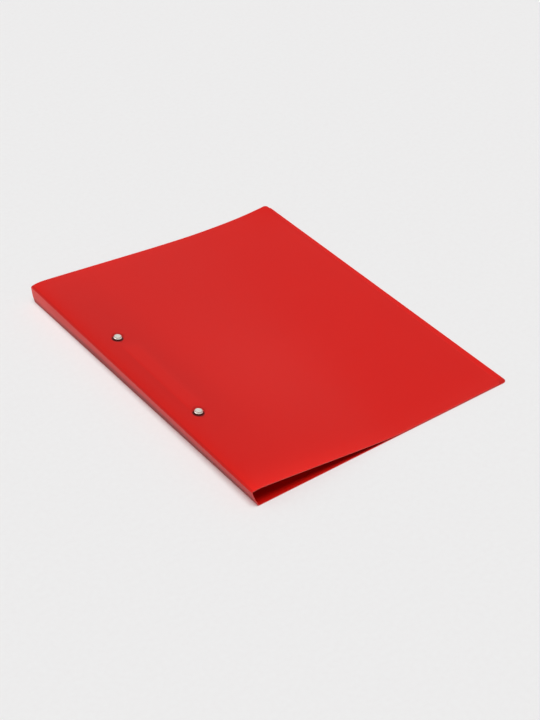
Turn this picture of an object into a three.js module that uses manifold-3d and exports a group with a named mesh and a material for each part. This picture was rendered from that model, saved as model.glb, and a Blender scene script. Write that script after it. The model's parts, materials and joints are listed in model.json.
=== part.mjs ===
// A4 spring clip folder, closed and lying flat. Millimetres, +Z up, the spine on the left along Y.
// One polypropylene sheet, creased twice, makes the bottom cover, the spine and the clip cover on top.
// A sprung clamp hangs under the clip cover, beside the spine, on two rivets whose heads show outside.
// While the folder is laid out, x is 0 at the bottom crease and y is 0 at the near end.
import * as THREE from "three";
import { mergeVertices } from "three/addons/utils/BufferGeometryUtils.js";
import Module from "manifold-3d";

const wasm = await Module();
wasm.setup();

// The sheet
const SHEET_THICKNESS = 0.7;
const COVER_LENGTH = 310; // along the spine
const COVER_WIDTH = 240; // from a crease to the fore edge
const COVER_CORNER_RADIUS = 3.5;
const SPINE_WIDTH = 16.2; // from crease to crease
const SPINE_BOW = 0.4; // how far the spine swells outwards at half its width
const WEB_RADIUS = 0.3; // the thin web left at a crease, which bends as the hinge
const WEB_CLEARANCE = 0.3; // from the web to the panel on each side

// How the closed sheet rests: it is slightly racked, so its two ends differ
const SPINE_LEAN_NEAR = THREE.MathUtils.degToRad(20.6); // outwards from upright
const SPINE_LEAN_FAR = THREE.MathUtils.degToRad(7.9);
const COVER_SLOPE_NEAR = 0.1236; // fall of the clip cover per millimetre, before it lands
const COVER_SLOPE_FAR = 0.1052;
const LANDING_NEAR = 123.4; // from the bottom crease to where the clip cover lands on the bottom cover
const LANDING_FAR = 164.7;
const LANDING_BLEND_NEAR = 6; // how gently it lands
const LANDING_BLEND_FAR = 18.9;
const CROWN_LENGTH = 4.2; // how fast the stiff fold gives way to the slope
const LANDING_CLEARANCE = 0.3;
const CORNER_LIFT = 2.3; // of the clip cover's far corner at the fore edge, which curls up
const CORNER_LIFT_REACH = 45; // along the two edges that meet there

// The rivets, along a line beside the top crease
const RIVET_TO_JAW = 6.5; // from an end of the jaw to the rivet beside it
const RIVET_SETBACK = 20.3; // from the top crease
const RIVET_OFFSET = -1.6; // of the pair's middle from the middle of the spine, towards the near end
const RIVET_HEAD_DIAMETER = 7;
const RIVET_HEAD_HEIGHT = 0.9;
const RIVET_HEAD_BEVEL = 0.55;
const RIVET_SHANK_DIAMETER = 3.8;
const RIVET_BORE_DIAMETER = 2.2;
const RIVET_TAIL_DIAMETER = 5.8;
const RIVET_TAIL_HEIGHT = 1.0;
const RIVET_HOLE_CLEARANCE = 0.15; // all round the shank
const RIVET_HEAD_CLEARANCE = 0.15;
const RIVET_TAIL_CLEARANCE = 0.1;

// The base plate, under the clip cover
const PLATE_THICKNESS = 1.0;
const PLATE_SEAT_CLEARANCE = 0.4; // to the clip cover
const PLATE_TO_RIVET = 7.5; // from an end of the plate to the rivet beside it
const PLATE_REACH_REAR = 12; // from the rivet line towards the spine
const PLATE_REACH_FRONT = 18; // from the rivet line towards the fore edge
const PLATE_CORNER_RADIUS = 6;
const PLATE_RIB_RADIUS = 1.3;
const PLATE_RIB_RISE = 0.5;
const PLATE_RIB_LENGTH = 72;
const PLATE_RIB_OFFSET = 9.5; // from the rivet line

// The hinge pin and the lugs of the base plate that carry it
const PIN_DIAMETER = 2.8;
const PIN_HEAD_DIAMETER = 4.4;
const PIN_HEAD_HEIGHT = 0.9;
const PIN_HEAD_SHARES = [ // its rounded profile, as shares of its radius and height
  [1, 0],
  [0.9, 0.55],
  [0.55, 0.9],
];
const PIN_SETBACK = 3; // behind the rivet line
const PIN_HOLE_CLEARANCE = 0.08;
const LUG_THICKNESS = 1.0;
const LUG_RADIUS = 2.7; // round the pin
const LUG_FOOT = 9; // length of a lug's foot on the plate
const INNER_LUG_OFFSET = 20; // from the clip's middle
const WINDOW_MARGIN = 0.6; // how much wider than the lug the window it was bent from is

// The stops that keep the paper's edge clear of the springs
const STOP_OFFSET = 35; // from the clip's middle
const STOP_LENGTH = 9;
const STOP_HEIGHT = 3.4;
const STOP_REACH = 2.4; // in front of the rivet line

// The torsion springs, each an unbroken wire round the pin
const WIRE_DIAMETER = 1.0;
const COIL_CLEARANCE = 0.3; // from the pin to the coil
const COIL_GAP = 0.5; // between turns
const COIL_TURNS = 6.5;
const SPRING_LEG_LENGTH = 9.5;
const SPRING_SEAT_CLEARANCE = 0.3;
const SPRING_TO_LUG = 0.6;

// The clamp jaw, a bent plate with a cheek at each end, measured from the pin
const JAW_THICKNESS = 0.8;
const JAW_LENGTH = 100;
const JAW_REACH = 18; // to the edge that holds the paper
const JAW_DROP = 3.4; // fall of the front plate from the crown to its edge
const JAW_COIL_CLEARANCE = 0.5; // from the coil to the crown
const JAW_CORNER_RADIUS = 4;
const JAW_BEND_RADIUS = 1.4;
const CHEEK_CLEARANCE = 0.35; // from a cheek to the lug inside it
const CHEEK_RADIUS = 2.6; // round the pin
const JAW_RIB_RADIUS = 1.1;
const JAW_RIB_RISE = 0.45;
const JAW_RIB_LENGTH = 7;
const JAW_RIB_PITCH = 22;
const JAW_RIB_COUNT = 4;

// The thumb lip behind the crown
const LIP_LENGTH = 64;
const LIP_REACH = 10.6; // behind the pin
const LIP_RISE = 3.4;
const LIP_CURL = 1.1;
const LIP_ROOT = 4.2; // where the lip narrows, behind the pin

// The soft grip strip pushed on the jaw's edge
const GRIP_INSET = 3; // from an end of the jaw
const GRIP_WALL = 0.8;
const GRIP_CLEARANCE = 0.25; // to the jaw's edge
const GRIP_DEPTH = 1.9; // of its slot
const GRIP_EDGE_RADIUS = 0.5;
const GRIP_SEAT_CLEARANCE = 0.3; // to the base plate

const ROUND_SIDES = 24;
const RIVET_SIDES = 32;

const mix = THREE.MathUtils.lerp;

// Solids: a closed geometry becomes a manifold to be joined or cut, and comes back as a geometry.

function solidOf(geometry) {
  const bare = geometry.clone();
  bare.deleteAttribute("normal");
  bare.deleteAttribute("uv");
  const merged = mergeVertices(bare, 1e-4);
  const mesh = new wasm.Mesh({
    numProp: 3,
    vertProperties: new Float32Array(merged.attributes.position.array),
    triVerts: new Uint32Array(merged.index.array),
  });
  return new wasm.Manifold(mesh);
}

function geometryOf(solid) {
  const mesh = solid.getMesh();
  const geometry = new THREE.BufferGeometry();
  geometry.setAttribute("position", new THREE.BufferAttribute(mesh.vertProperties, 3));
  geometry.setIndex(new THREE.BufferAttribute(mesh.triVerts, 1));
  const flat = geometry.toNonIndexed();
  flat.computeVertexNormals();
  return flat;
}

function meshOf(name, geometry, material) {
  const mesh = new THREE.Mesh(geometry, material);
  mesh.name = name;
  return mesh;
}

// A shape drawn in X and Z, given a length along Y about its middle.
function extrudeAlongY(shape, length, middle = 0) {
  const geometry = new THREE.ExtrudeGeometry(shape, { depth: length, bevelEnabled: false });
  geometry.rotateX(Math.PI / 2);
  geometry.translate(0, middle + length / 2, 0);
  return geometry;
}

// A shape drawn in X and Y, given a height up from z.
function extrudeUp(shape, height, z = 0) {
  const geometry = new THREE.ExtrudeGeometry(shape, { depth: height, bevelEnabled: false });
  geometry.translate(0, 0, z);
  return geometry;
}

// A bar across the clip, along Y.
function barAlongY(radius, length, x, z) {
  const geometry = new THREE.CylinderGeometry(radius, radius, length, ROUND_SIDES);
  geometry.translate(x, 0, z);
  return geometry;
}

function roundedRectangle(xLow, xHigh, yLow, yHigh, radius) {
  const shape = new THREE.Shape();
  shape.absarc(xHigh - radius, yHigh - radius, radius, 0, Math.PI / 2);
  shape.absarc(xLow + radius, yHigh - radius, radius, Math.PI / 2, Math.PI);
  shape.absarc(xLow + radius, yLow + radius, radius, Math.PI, 1.5 * Math.PI);
  shape.absarc(xHigh - radius, yLow + radius, radius, 1.5 * Math.PI, 2 * Math.PI);
  return shape;
}

// Both sides of a bent strip, half its thickness from its middle line: [left side, right side].
function stripSides(line, thickness) {
  const turns = line.map((point, i) => {
    const before = line[Math.max(i - 1, 0)];
    const after = line[Math.min(i + 1, line.length - 1)];
    const arriving = i > 0 ? point.clone().sub(before).normalize() : after.clone().sub(point).normalize();
    const leaving = i < line.length - 1 ? after.clone().sub(point).normalize() : arriving;
    const along = arriving.clone().add(leaving).normalize();
    const reach = thickness / 2 / along.dot(arriving);
    return new THREE.Vector2(-along.y, along.x).multiplyScalar(reach);
  });
  const left = line.map((point, i) => point.clone().add(turns[i]));
  const right = line.map((point, i) => point.clone().sub(turns[i]));
  return [left, right];
}

function stripShape(line, thickness) {
  const [left, right] = stripSides(line, thickness);
  return new THREE.Shape([...right, ...left.reverse()]);
}

// The sheet

// The axis of the top crease, straight from its near end to its far end.
function topCrease(y) {
  const end = (lean) =>
    new THREE.Vector2(
      -SPINE_WIDTH * Math.sin(lean),
      SHEET_THICKNESS / 2 + SPINE_WIDTH * Math.cos(lean),
    );
  return end(SPINE_LEAN_NEAR).lerp(end(SPINE_LEAN_FAR), y / COVER_LENGTH);
}

// How strongly the cover's corner curls at a distance from an edge: 1 on the edge, 0 out of reach.
function curl(distance) {
  return THREE.MathUtils.clamp(1 - distance / CORNER_LIFT_REACH, 0, 1) ** 2;
}

// Height of the clip cover's middle surface: it leaves the crease, falls at its slope and lands softly.
function clipCoverHeight(x, y) {
  const along = y / COVER_LENGTH;
  const slope = mix(COVER_SLOPE_NEAR, COVER_SLOPE_FAR, along);
  const landing = mix(LANDING_NEAR, LANDING_FAR, along);
  const blend = mix(LANDING_BLEND_NEAR, LANDING_BLEND_FAR, along);
  const landed = 1.5 * SHEET_THICKNESS + LANDING_CLEARANCE;
  const falling = (place) => landed + slope * blend * Math.log1p(Math.exp((landing - place) / blend));
  const crease = topCrease(y);
  const crown = (falling(crease.x) - crease.y) * Math.exp((crease.x - x) / CROWN_LENGTH);
  const lift = CORNER_LIFT * curl(COVER_WIDTH - x) * curl(COVER_LENGTH - y);
  return falling(x) - crown + lift;
}

// Places on the clip cover's middle line at y, at distances measured along the sheet from the crease.
function clipCoverLine(y, distances) {
  const step = 0.5;
  const places = [];
  let here = new THREE.Vector2(topCrease(y).x, topCrease(y).y);
  let gone = 0;
  for (const distance of distances) {
    while (gone < distance) {
      const next = new THREE.Vector2(here.x + step, clipCoverHeight(here.x + step, y));
      const stride = here.distanceTo(next);
      const share = Math.min(1, (distance - gone) / stride);
      const x = here.x + share * step;
      here = new THREE.Vector2(x, clipCoverHeight(x, y));
      gone += share * stride;
      if (share < 1) break;
    }
    places.push(here.clone());
  }
  return places;
}

// A sheet lofted through stations along Y, each with the middle line of the sheet there.
function loftSheet(stations) {
  const count = stations[0].line.length;
  const ring = 2 * count;
  const positions = [];
  for (const { y, line } of stations) {
    const [upper, lower] = stripSides(line, SHEET_THICKNESS);
    for (const point of [...upper, ...lower.reverse()]) positions.push(point.x, y, point.y);
  }
  const faces = [];
  for (let s = 0; s < stations.length - 1; s++) {
    for (let i = 0; i < ring; i++) {
      const a = s * ring + i;
      const b = s * ring + ((i + 1) % ring);
      faces.push(a, b, a + ring, b, b + ring, a + ring);
    }
  }
  const last = (stations.length - 1) * ring;
  for (let i = 0; i < count - 1; i++) {
    const mate = ring - 1 - i;
    faces.push(i, mate, i + 1, mate, mate - 1, i + 1);
    faces.push(last + i, last + i + 1, last + mate, last + i + 1, last + mate - 1, last + mate);
  }
  const geometry = new THREE.BufferGeometry();
  geometry.setAttribute("position", new THREE.Float32BufferAttribute(positions, 3));
  geometry.setIndex(faces);
  return geometry;
}

const panelSetback = WEB_RADIUS + WEB_CLEARANCE; // from a crease's axis to the panel's edge

function bottomCoverGeometry() {
  const radius = COVER_CORNER_RADIUS;
  const shape = new THREE.Shape();
  shape.moveTo(panelSetback, 0);
  shape.lineTo(COVER_WIDTH - radius, 0);
  shape.absarc(COVER_WIDTH - radius, radius, radius, -Math.PI / 2, 0);
  shape.absarc(COVER_WIDTH - radius, COVER_LENGTH - radius, radius, 0, Math.PI / 2);
  shape.lineTo(panelSetback, COVER_LENGTH);
  return extrudeUp(shape, SHEET_THICKNESS);
}

function spineGeometry() {
  const steps = 8;
  const stations = [0, COVER_LENGTH].map((y) => {
    const foot = new THREE.Vector2(0, SHEET_THICKNESS / 2);
    const rise = topCrease(y).sub(foot);
    const width = rise.length();
    const along = rise.normalize();
    const outwards = new THREE.Vector2(-along.y, along.x);
    const line = [];
    for (let i = 0; i <= steps; i++) {
      const distance = mix(panelSetback, width - panelSetback, i / steps);
      const bow = SPINE_BOW * Math.sin((Math.PI * i) / steps);
      line.push(foot.clone().addScaledVector(along, distance).addScaledVector(outwards, bow));
    }
    return { y, line };
  });
  return loftSheet(stations);
}

function clipCoverGeometry() {
  const radius = COVER_CORNER_RADIUS;
  const cornerSteps = 4;
  const middleSteps = 14;
  const flatSteps = 24;
  const crownShares = [0, 0.35, 0.9, 1.7, 2.8];
  const crownEnd = 4 * CROWN_LENGTH;
  const ends = []; // distance from an end of the cover, and how far its rounded corner draws back there
  for (let i = 0; i < cornerSteps; i++) {
    const angle = (i / cornerSteps) * (Math.PI / 2);
    ends.push([radius * (1 - Math.cos(angle)), radius * (1 - Math.sin(angle))]);
  }
  const rows = [...ends];
  for (let i = 0; i <= middleSteps; i++) {
    rows.push([mix(radius, COVER_LENGTH - radius, i / middleSteps), 0]);
  }
  for (const [inwards, drawnBack] of ends.reverse()) rows.push([COVER_LENGTH - inwards, drawnBack]);
  const stations = rows.map(([y, drawnBack]) => {
    const distances = crownShares.map((share) => panelSetback + share * CROWN_LENGTH);
    for (let i = 0; i <= flatSteps; i++) {
      distances.push(mix(crownEnd, COVER_WIDTH - drawnBack, i / flatSteps));
    }
    return { y, line: clipCoverLine(y, distances) };
  });
  return loftSheet(stations);
}

// A crease's web: a thin round bead on the axis that the two panels turn about.
function creaseWeb(name, nearEnd, farEnd, material) {
  const along = farEnd.clone().sub(nearEnd);
  const geometry = new THREE.CylinderGeometry(WEB_RADIUS, WEB_RADIUS, along.length(), 10);
  const web = meshOf(name, geometry, material);
  web.position.copy(nearEnd).addScaledVector(along, 0.5);
  web.quaternion.setFromUnitVectors(new THREE.Vector3(0, 1, 0), along.clone().normalize());
  return web;
}

// The clip: x runs to the fore edge, z runs from the clip cover into the folder,
// and the origin is on the clip cover's inner face, midway between the rivets.

const rivetPitch = JAW_LENGTH + 2 * RIVET_TO_JAW;
const plateLength = rivetPitch + 2 * PLATE_TO_RIVET;
const plateTop = PLATE_SEAT_CLEARANCE + PLATE_THICKNESS;
const coilRadius = PIN_DIAMETER / 2 + COIL_CLEARANCE + WIRE_DIAMETER / 2;
const coilReach = coilRadius + WIRE_DIAMETER / 2;
const pinHeight = plateTop + coilReach + SPRING_SEAT_CLEARANCE;
const pinHoleRadius = PIN_DIAMETER / 2 + PIN_HOLE_CLEARANCE;
const cheekInside = JAW_LENGTH / 2 - JAW_THICKNESS;
const outerLugMiddle = cheekInside - CHEEK_CLEARANCE - LUG_THICKNESS / 2;
const lugMiddles = [-outerLugMiddle, -INNER_LUG_OFFSET, INNER_LUG_OFFSET, outerLugMiddle];

// Puts a group on the clip cover's inner face, so that its X follows the slope and its Z points inwards.
function seatOnClipCover(group) {
  const middle = COVER_LENGTH / 2 + RIVET_OFFSET;
  const place = (y) => {
    const x = topCrease(y).x + RIVET_SETBACK;
    return new THREE.Vector3(x, y, clipCoverHeight(x, y));
  };
  const near = place(middle - rivetPitch / 2);
  const far = place(middle + rivetPitch / 2);
  const centre = near.clone().lerp(far, 0.5);
  const reach = PLATE_REACH_FRONT;
  const fall = clipCoverHeight(centre.x + reach, middle) - clipCoverHeight(centre.x, middle);
  const xAxis = new THREE.Vector3(reach, 0, fall).normalize();
  const yAxis = near.clone().sub(far).normalize();
  const zAxis = xAxis.clone().cross(yAxis).normalize();
  xAxis.crossVectors(yAxis, zAxis);
  group.position.copy(centre).addScaledVector(zAxis, SHEET_THICKNESS / 2);
  group.quaternion.setFromRotationMatrix(new THREE.Matrix4().makeBasis(xAxis, yAxis, zAxis));
  group.updateMatrixWorld(true);
}

// A lug: a foot on the plate that narrows to an eye round the pin.
function lugShape() {
  const shape = new THREE.Shape();
  const foot = plateTop - PLATE_THICKNESS / 2;
  shape.moveTo(-PIN_SETBACK + LUG_FOOT / 2, foot);
  shape.lineTo(-PIN_SETBACK + LUG_RADIUS, pinHeight);
  shape.absarc(-PIN_SETBACK, pinHeight, LUG_RADIUS, 0, Math.PI);
  shape.lineTo(-PIN_SETBACK - LUG_FOOT / 2, foot);
  return shape;
}

function basePlateGeometry() {
  const outline = roundedRectangle(
    -PLATE_REACH_REAR,
    PLATE_REACH_FRONT,
    -plateLength / 2,
    plateLength / 2,
    PLATE_CORNER_RADIUS,
  );
  for (const side of [-1, 1]) {
    const hole = new THREE.Path();
    const holeRadius = RIVET_SHANK_DIAMETER / 2 + RIVET_HOLE_CLEARANCE;
    hole.absarc(0, (side * rivetPitch) / 2, holeRadius, 0, 2 * Math.PI);
    outline.holes.push(hole);
  }
  let plate = solidOf(extrudeUp(outline, PLATE_THICKNESS, PLATE_SEAT_CLEARANCE));

  // Each lug and each stop was bent up from the window beside it.
  const lugRise = pinHeight + LUG_RADIUS - plateTop;
  const windowDepth = 3 * PLATE_THICKNESS;
  for (const middle of lugMiddles) {
    const inwards = -Math.sign(middle);
    const window = new THREE.BoxGeometry(LUG_FOOT + 2 * WINDOW_MARGIN, lugRise, windowDepth);
    window.translate(-PIN_SETBACK, middle + (inwards * (LUG_THICKNESS + lugRise)) / 2, plateTop);
    plate = plate.subtract(solidOf(window));
    plate = plate.add(solidOf(extrudeAlongY(lugShape(), LUG_THICKNESS, middle)));
  }
  for (const middle of [-STOP_OFFSET, STOP_OFFSET]) {
    const window = new THREE.BoxGeometry(STOP_HEIGHT, STOP_LENGTH + 2 * WINDOW_MARGIN, windowDepth);
    window.translate(STOP_REACH + (PLATE_THICKNESS + STOP_HEIGHT) / 2, middle, plateTop);
    plate = plate.subtract(solidOf(window));
    const stop = new THREE.BoxGeometry(PLATE_THICKNESS, STOP_LENGTH, STOP_HEIGHT + PLATE_THICKNESS / 2);
    stop.translate(STOP_REACH, middle, plateTop + STOP_HEIGHT / 2 - PLATE_THICKNESS / 4);
    plate = plate.add(solidOf(stop));
  }
  const eye = barAlongY(pinHoleRadius, plateLength, -PIN_SETBACK, pinHeight);
  plate = plate.subtract(solidOf(eye));

  const rib = new THREE.CapsuleGeometry(PLATE_RIB_RADIUS, PLATE_RIB_LENGTH, 4, 12);
  rib.translate(PLATE_RIB_OFFSET, 0, plateTop + PLATE_RIB_RISE - PLATE_RIB_RADIUS);
  const below = 4 * PLATE_RIB_RADIUS;
  const underside = new THREE.BoxGeometry(below, plateLength, below);
  underside.translate(PLATE_RIB_OFFSET, 0, PLATE_SEAT_CLEARANCE - below / 2);
  plate = plate.add(solidOf(rib).subtract(solidOf(underside)));
  return geometryOf(plate);
}

function hingePinGeometry() {
  const shankRadius = PIN_DIAMETER / 2;
  const headRadius = PIN_HEAD_DIAMETER / 2;
  const halfLength = JAW_LENGTH / 2 + CHEEK_CLEARANCE / 2;
  const end = halfLength + PIN_HEAD_HEIGHT;
  const half = [[shankRadius, halfLength]];
  for (const [across, along] of PIN_HEAD_SHARES) {
    half.push([headRadius * across, halfLength + PIN_HEAD_HEIGHT * along]);
  }
  const profile = [
    [0, -end],
    ...half.map(([radius, along]) => [radius, -along]).reverse(),
    ...half,
    [0, end],
  ];
  return new THREE.LatheGeometry(profile.map(([radius, along]) => new THREE.Vector2(radius, along)), ROUND_SIDES);
}

// A semi-tubular rivet on the local Z axis: its head outside the clip cover, its rolled tail on the plate.
function rivetGeometry() {
  const headRadius = RIVET_HEAD_DIAMETER / 2;
  const shankRadius = RIVET_SHANK_DIAMETER / 2;
  const boreRadius = RIVET_BORE_DIAMETER / 2;
  const tailRadius = RIVET_TAIL_DIAMETER / 2;
  const headFoot = -SHEET_THICKNESS - RIVET_HEAD_CLEARANCE;
  const headTop = headFoot - RIVET_HEAD_HEIGHT;
  const tailFoot = plateTop + RIVET_TAIL_CLEARANCE;
  const bevel = RIVET_HEAD_BEVEL;
  const profile = [[0, headTop]];
  const bevelSteps = 3;
  for (let i = 0; i <= bevelSteps; i++) {
    const angle = (i / bevelSteps) * (Math.PI / 2);
    profile.push([headRadius - bevel * (1 - Math.sin(angle)), headTop + bevel * (1 - Math.cos(angle))]);
  }
  profile.push([headRadius, headFoot], [shankRadius, headFoot], [shankRadius, tailFoot]);
  const rollSteps = 5;
  for (let i = 0; i <= rollSteps; i++) {
    const angle = (i / rollSteps) * Math.PI;
    const across = mix(boreRadius, tailRadius, (1 + Math.cos(angle)) / 2);
    profile.push([across, tailFoot + RIVET_TAIL_HEIGHT * Math.sin(angle)]);
  }
  profile.push([boreRadius, headFoot], [0, headFoot]);
  const points = profile.map(([radius, z]) => new THREE.Vector2(radius, z));
  const geometry = new THREE.LatheGeometry(points, RIVET_SIDES);
  geometry.rotateX(Math.PI / 2);
  return geometry;
}

// A torsion spring round the pin: one leg lies on the plate, the other lifts the jaw's thumb lip.
// The two springs are mirror images, each beside an inner lug: side is -1 near, 1 far.
function springGeometry(name, side) {
  const pitch = WIRE_DIAMETER + COIL_GAP;
  const start = INNER_LUG_OFFSET + LUG_THICKNESS / 2 + SPRING_TO_LUG + WIRE_DIAMETER / 2;
  const perTurn = 8;
  const points = [];
  const seat = plateTop + SPRING_SEAT_CLEARANCE + WIRE_DIAMETER / 2;
  points.push(new THREE.Vector3(-SPRING_LEG_LENGTH, 0, seat - pinHeight));
  points.push(new THREE.Vector3(-SPRING_LEG_LENGTH / 2, 0, (seat - pinHeight - coilRadius) / 2));
  for (let i = 0; i <= COIL_TURNS * perTurn; i++) {
    const angle = (2 * Math.PI * i) / perTurn;
    points.push(
      new THREE.Vector3(
        coilRadius * Math.sin(angle),
        (pitch * i) / perTurn,
        -coilRadius * Math.cos(angle),
      ),
    );
  }
  const span = pitch * COIL_TURNS;
  const lipUnder = lipHeightAt(-SPRING_LEG_LENGTH) - JAW_THICKNESS / 2 - SPRING_SEAT_CLEARANCE;
  const tip = lipUnder - WIRE_DIAMETER / 2 - SPRING_SEAT_CLEARANCE;
  points.push(new THREE.Vector3(-SPRING_LEG_LENGTH / 2, span, mix(coilRadius, tip, 0.5)));
  points.push(new THREE.Vector3(-SPRING_LEG_LENGTH, span, tip));
  for (const point of points) {
    point.y = side * (start + point.y);
  }
  if (side < 0) points.reverse();
  const path = new THREE.CatmullRomCurve3(points, false, "chordal");
  const steps = Math.round(path.getLength() / ((2 * Math.PI * coilRadius) / perTurn));
  console.log(name + ": least gap of the wire to itself " + leastGap(path, steps, perTurn).toFixed(2) + " mm");
  const section = new THREE.Shape();
  section.absarc(0, 0, WIRE_DIAMETER / 2, 0, 2 * Math.PI);
  const outline = new THREE.Shape(section.getSpacedPoints(6).slice(0, -1));
  return new THREE.ExtrudeGeometry(outline, { extrudePath: path, steps, bevelEnabled: false });
}

// The least gap between stretches of the wire that lie more than half a turn apart.
function leastGap(path, steps, perTurn) {
  const finer = 4;
  const points = path.getSpacedPoints(steps * finer);
  const apart = (perTurn * finer) / 2;
  let least = Infinity;
  points.forEach((point, i) => {
    for (let j = i + apart; j < points.length; j++) least = Math.min(least, point.distanceTo(points[j]));
  });
  return least - WIRE_DIAMETER;
}

// The jaw, measured from the pin's axis

const crownHeight = coilReach + JAW_COIL_CLEARANCE + JAW_THICKNESS;
const lipSlope = LIP_RISE / LIP_REACH;
const gripFoot = plateTop + GRIP_SEAT_CLEARANCE - pinHeight;
const jawEdge = gripFoot + GRIP_WALL + GRIP_CLEARANCE;

// Height of the thumb lip's middle surface behind the pin.
function lipHeightAt(x) {
  return crownHeight - lipSlope * x;
}

// The jaw plate's middle line, from the paper's edge up over the pin to the curled end of the lip.
function jawLine() {
  const shoulder = crownHeight - JAW_DROP;
  const path = new THREE.Path();
  path.moveTo(JAW_REACH, jawEdge);
  path.lineTo(JAW_REACH, shoulder - JAW_BEND_RADIUS);
  const slope = JAW_DROP / JAW_REACH;
  const bendEnd = JAW_REACH - JAW_BEND_RADIUS;
  path.quadraticCurveTo(JAW_REACH, shoulder, bendEnd, shoulder + slope * JAW_BEND_RADIUS);
  path.lineTo(JAW_BEND_RADIUS, crownHeight - slope * JAW_BEND_RADIUS);
  path.quadraticCurveTo(0, crownHeight, -JAW_BEND_RADIUS, lipHeightAt(-JAW_BEND_RADIUS));
  path.lineTo(-LIP_REACH + LIP_CURL, lipHeightAt(-LIP_REACH + LIP_CURL));
  const lipEnd = lipHeightAt(-LIP_REACH);
  path.quadraticCurveTo(-LIP_REACH, lipEnd, -LIP_REACH - LIP_CURL / 3, lipEnd - LIP_CURL);
  return path.getPoints(5);
}

// The jaw seen from above: round front corners, and a lip that is shorter than the jaw.
function jawPlanShape() {
  const front = JAW_REACH + JAW_THICKNESS;
  const halfJaw = JAW_LENGTH / 2;
  const halfLip = LIP_LENGTH / 2;
  const radius = JAW_CORNER_RADIUS;
  const rear = -LIP_REACH - LIP_CURL - JAW_THICKNESS;
  const half = [
    [front, halfJaw],
    [-LIP_ROOT, halfJaw],
    [-LIP_ROOT, halfLip + radius],
    [-LIP_ROOT - radius, halfLip],
    [rear + radius, halfLip],
    [rear, halfLip - radius],
  ];
  const shape = new THREE.Shape();
  shape.moveTo(front, -halfJaw);
  shape.lineTo(...half[0]);
  shape.lineTo(...half[1]);
  shape.lineTo(...half[2]);
  shape.quadraticCurveTo(-LIP_ROOT, halfLip, ...half[3]);
  shape.lineTo(...half[4]);
  shape.quadraticCurveTo(rear, halfLip, ...half[5]);
  shape.lineTo(rear, -halfLip + radius);
  shape.quadraticCurveTo(rear, -halfLip, rear + radius, -halfLip);
  shape.lineTo(-LIP_ROOT - radius, -halfLip);
  shape.quadraticCurveTo(-LIP_ROOT, -halfLip, -LIP_ROOT, -halfLip - radius);
  shape.lineTo(-LIP_ROOT, -halfJaw);
  return shape;
}

// A cheek, from the jaw plate down to the eye round the pin.
function cheekShape() {
  const slope = JAW_DROP / JAW_REACH;
  const front = JAW_REACH - JAW_BEND_RADIUS;
  const shape = new THREE.Shape();
  shape.moveTo(-LIP_ROOT, lipHeightAt(-LIP_ROOT));
  shape.lineTo(-CHEEK_RADIUS, 0);
  shape.absarc(0, 0, CHEEK_RADIUS, Math.PI, 1.5 * Math.PI);
  shape.lineTo(front - JAW_CORNER_RADIUS, -CHEEK_RADIUS);
  shape.quadraticCurveTo(front, -CHEEK_RADIUS, front, crownHeight - slope * front);
  shape.lineTo(0, crownHeight);
  return shape;
}

function jawGeometry() {
  const height = 2 * (crownHeight + LIP_RISE);
  const bent = solidOf(extrudeAlongY(stripShape(jawLine(), JAW_THICKNESS), JAW_LENGTH));
  const plan = solidOf(extrudeUp(jawPlanShape(), height, -height / 2));
  let jaw = bent.intersect(plan);
  for (const side of [-1, 1]) {
    const middle = (side * (JAW_LENGTH - JAW_THICKNESS)) / 2;
    jaw = jaw.add(solidOf(extrudeAlongY(cheekShape(), JAW_THICKNESS, middle)));
  }
  jaw = jaw.subtract(solidOf(barAlongY(pinHoleRadius, 2 * JAW_LENGTH, 0, 0)));

  const tilt = Math.atan2(JAW_DROP, JAW_REACH);
  const ribX = JAW_REACH / 2;
  const ribZ = crownHeight - (JAW_DROP * ribX) / JAW_REACH + JAW_THICKNESS / 2;
  const under = new THREE.BoxGeometry(4 * JAW_RIB_LENGTH, JAW_LENGTH, JAW_RIB_RADIUS * 2);
  under.translate(0, 0, -JAW_RIB_RADIUS - JAW_THICKNESS / 2);
  for (let i = 0; i < JAW_RIB_COUNT; i++) {
    const rib = new THREE.CapsuleGeometry(JAW_RIB_RADIUS, JAW_RIB_LENGTH, 4, 12);
    rib.rotateZ(Math.PI / 2);
    rib.translate(0, 0, JAW_RIB_RISE - JAW_RIB_RADIUS);
    const raised = geometryOf(solidOf(rib).subtract(solidOf(under)));
    raised.rotateY(tilt);
    raised.translate(ribX, (i - (JAW_RIB_COUNT - 1) / 2) * JAW_RIB_PITCH, ribZ);
    jaw = jaw.add(solidOf(raised));
  }
  return geometryOf(jaw);
}

// The grip strip: a U that the jaw's edge stands in.
function gripGeometry() {
  const slotHalf = JAW_THICKNESS / 2 + GRIP_CLEARANCE;
  const outerHalf = slotHalf + GRIP_WALL;
  const floor = gripFoot + GRIP_WALL;
  const top = floor + GRIP_DEPTH;
  const round = GRIP_EDGE_RADIUS;
  const shape = new THREE.Shape();
  shape.moveTo(JAW_REACH - outerHalf + round, gripFoot);
  shape.lineTo(JAW_REACH + outerHalf - round, gripFoot);
  shape.quadraticCurveTo(JAW_REACH + outerHalf, gripFoot, JAW_REACH + outerHalf, gripFoot + round);
  shape.lineTo(JAW_REACH + outerHalf, top);
  shape.lineTo(JAW_REACH + slotHalf, top);
  shape.lineTo(JAW_REACH + slotHalf, floor);
  shape.lineTo(JAW_REACH - slotHalf, floor);
  shape.lineTo(JAW_REACH - slotHalf, top);
  shape.lineTo(JAW_REACH - outerHalf, top);
  shape.lineTo(JAW_REACH - outerHalf, gripFoot + round);
  shape.quadraticCurveTo(JAW_REACH - outerHalf, gripFoot, JAW_REACH - outerHalf + round, gripFoot);
  return extrudeAlongY(shape, JAW_LENGTH - 2 * GRIP_INSET);
}

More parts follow.
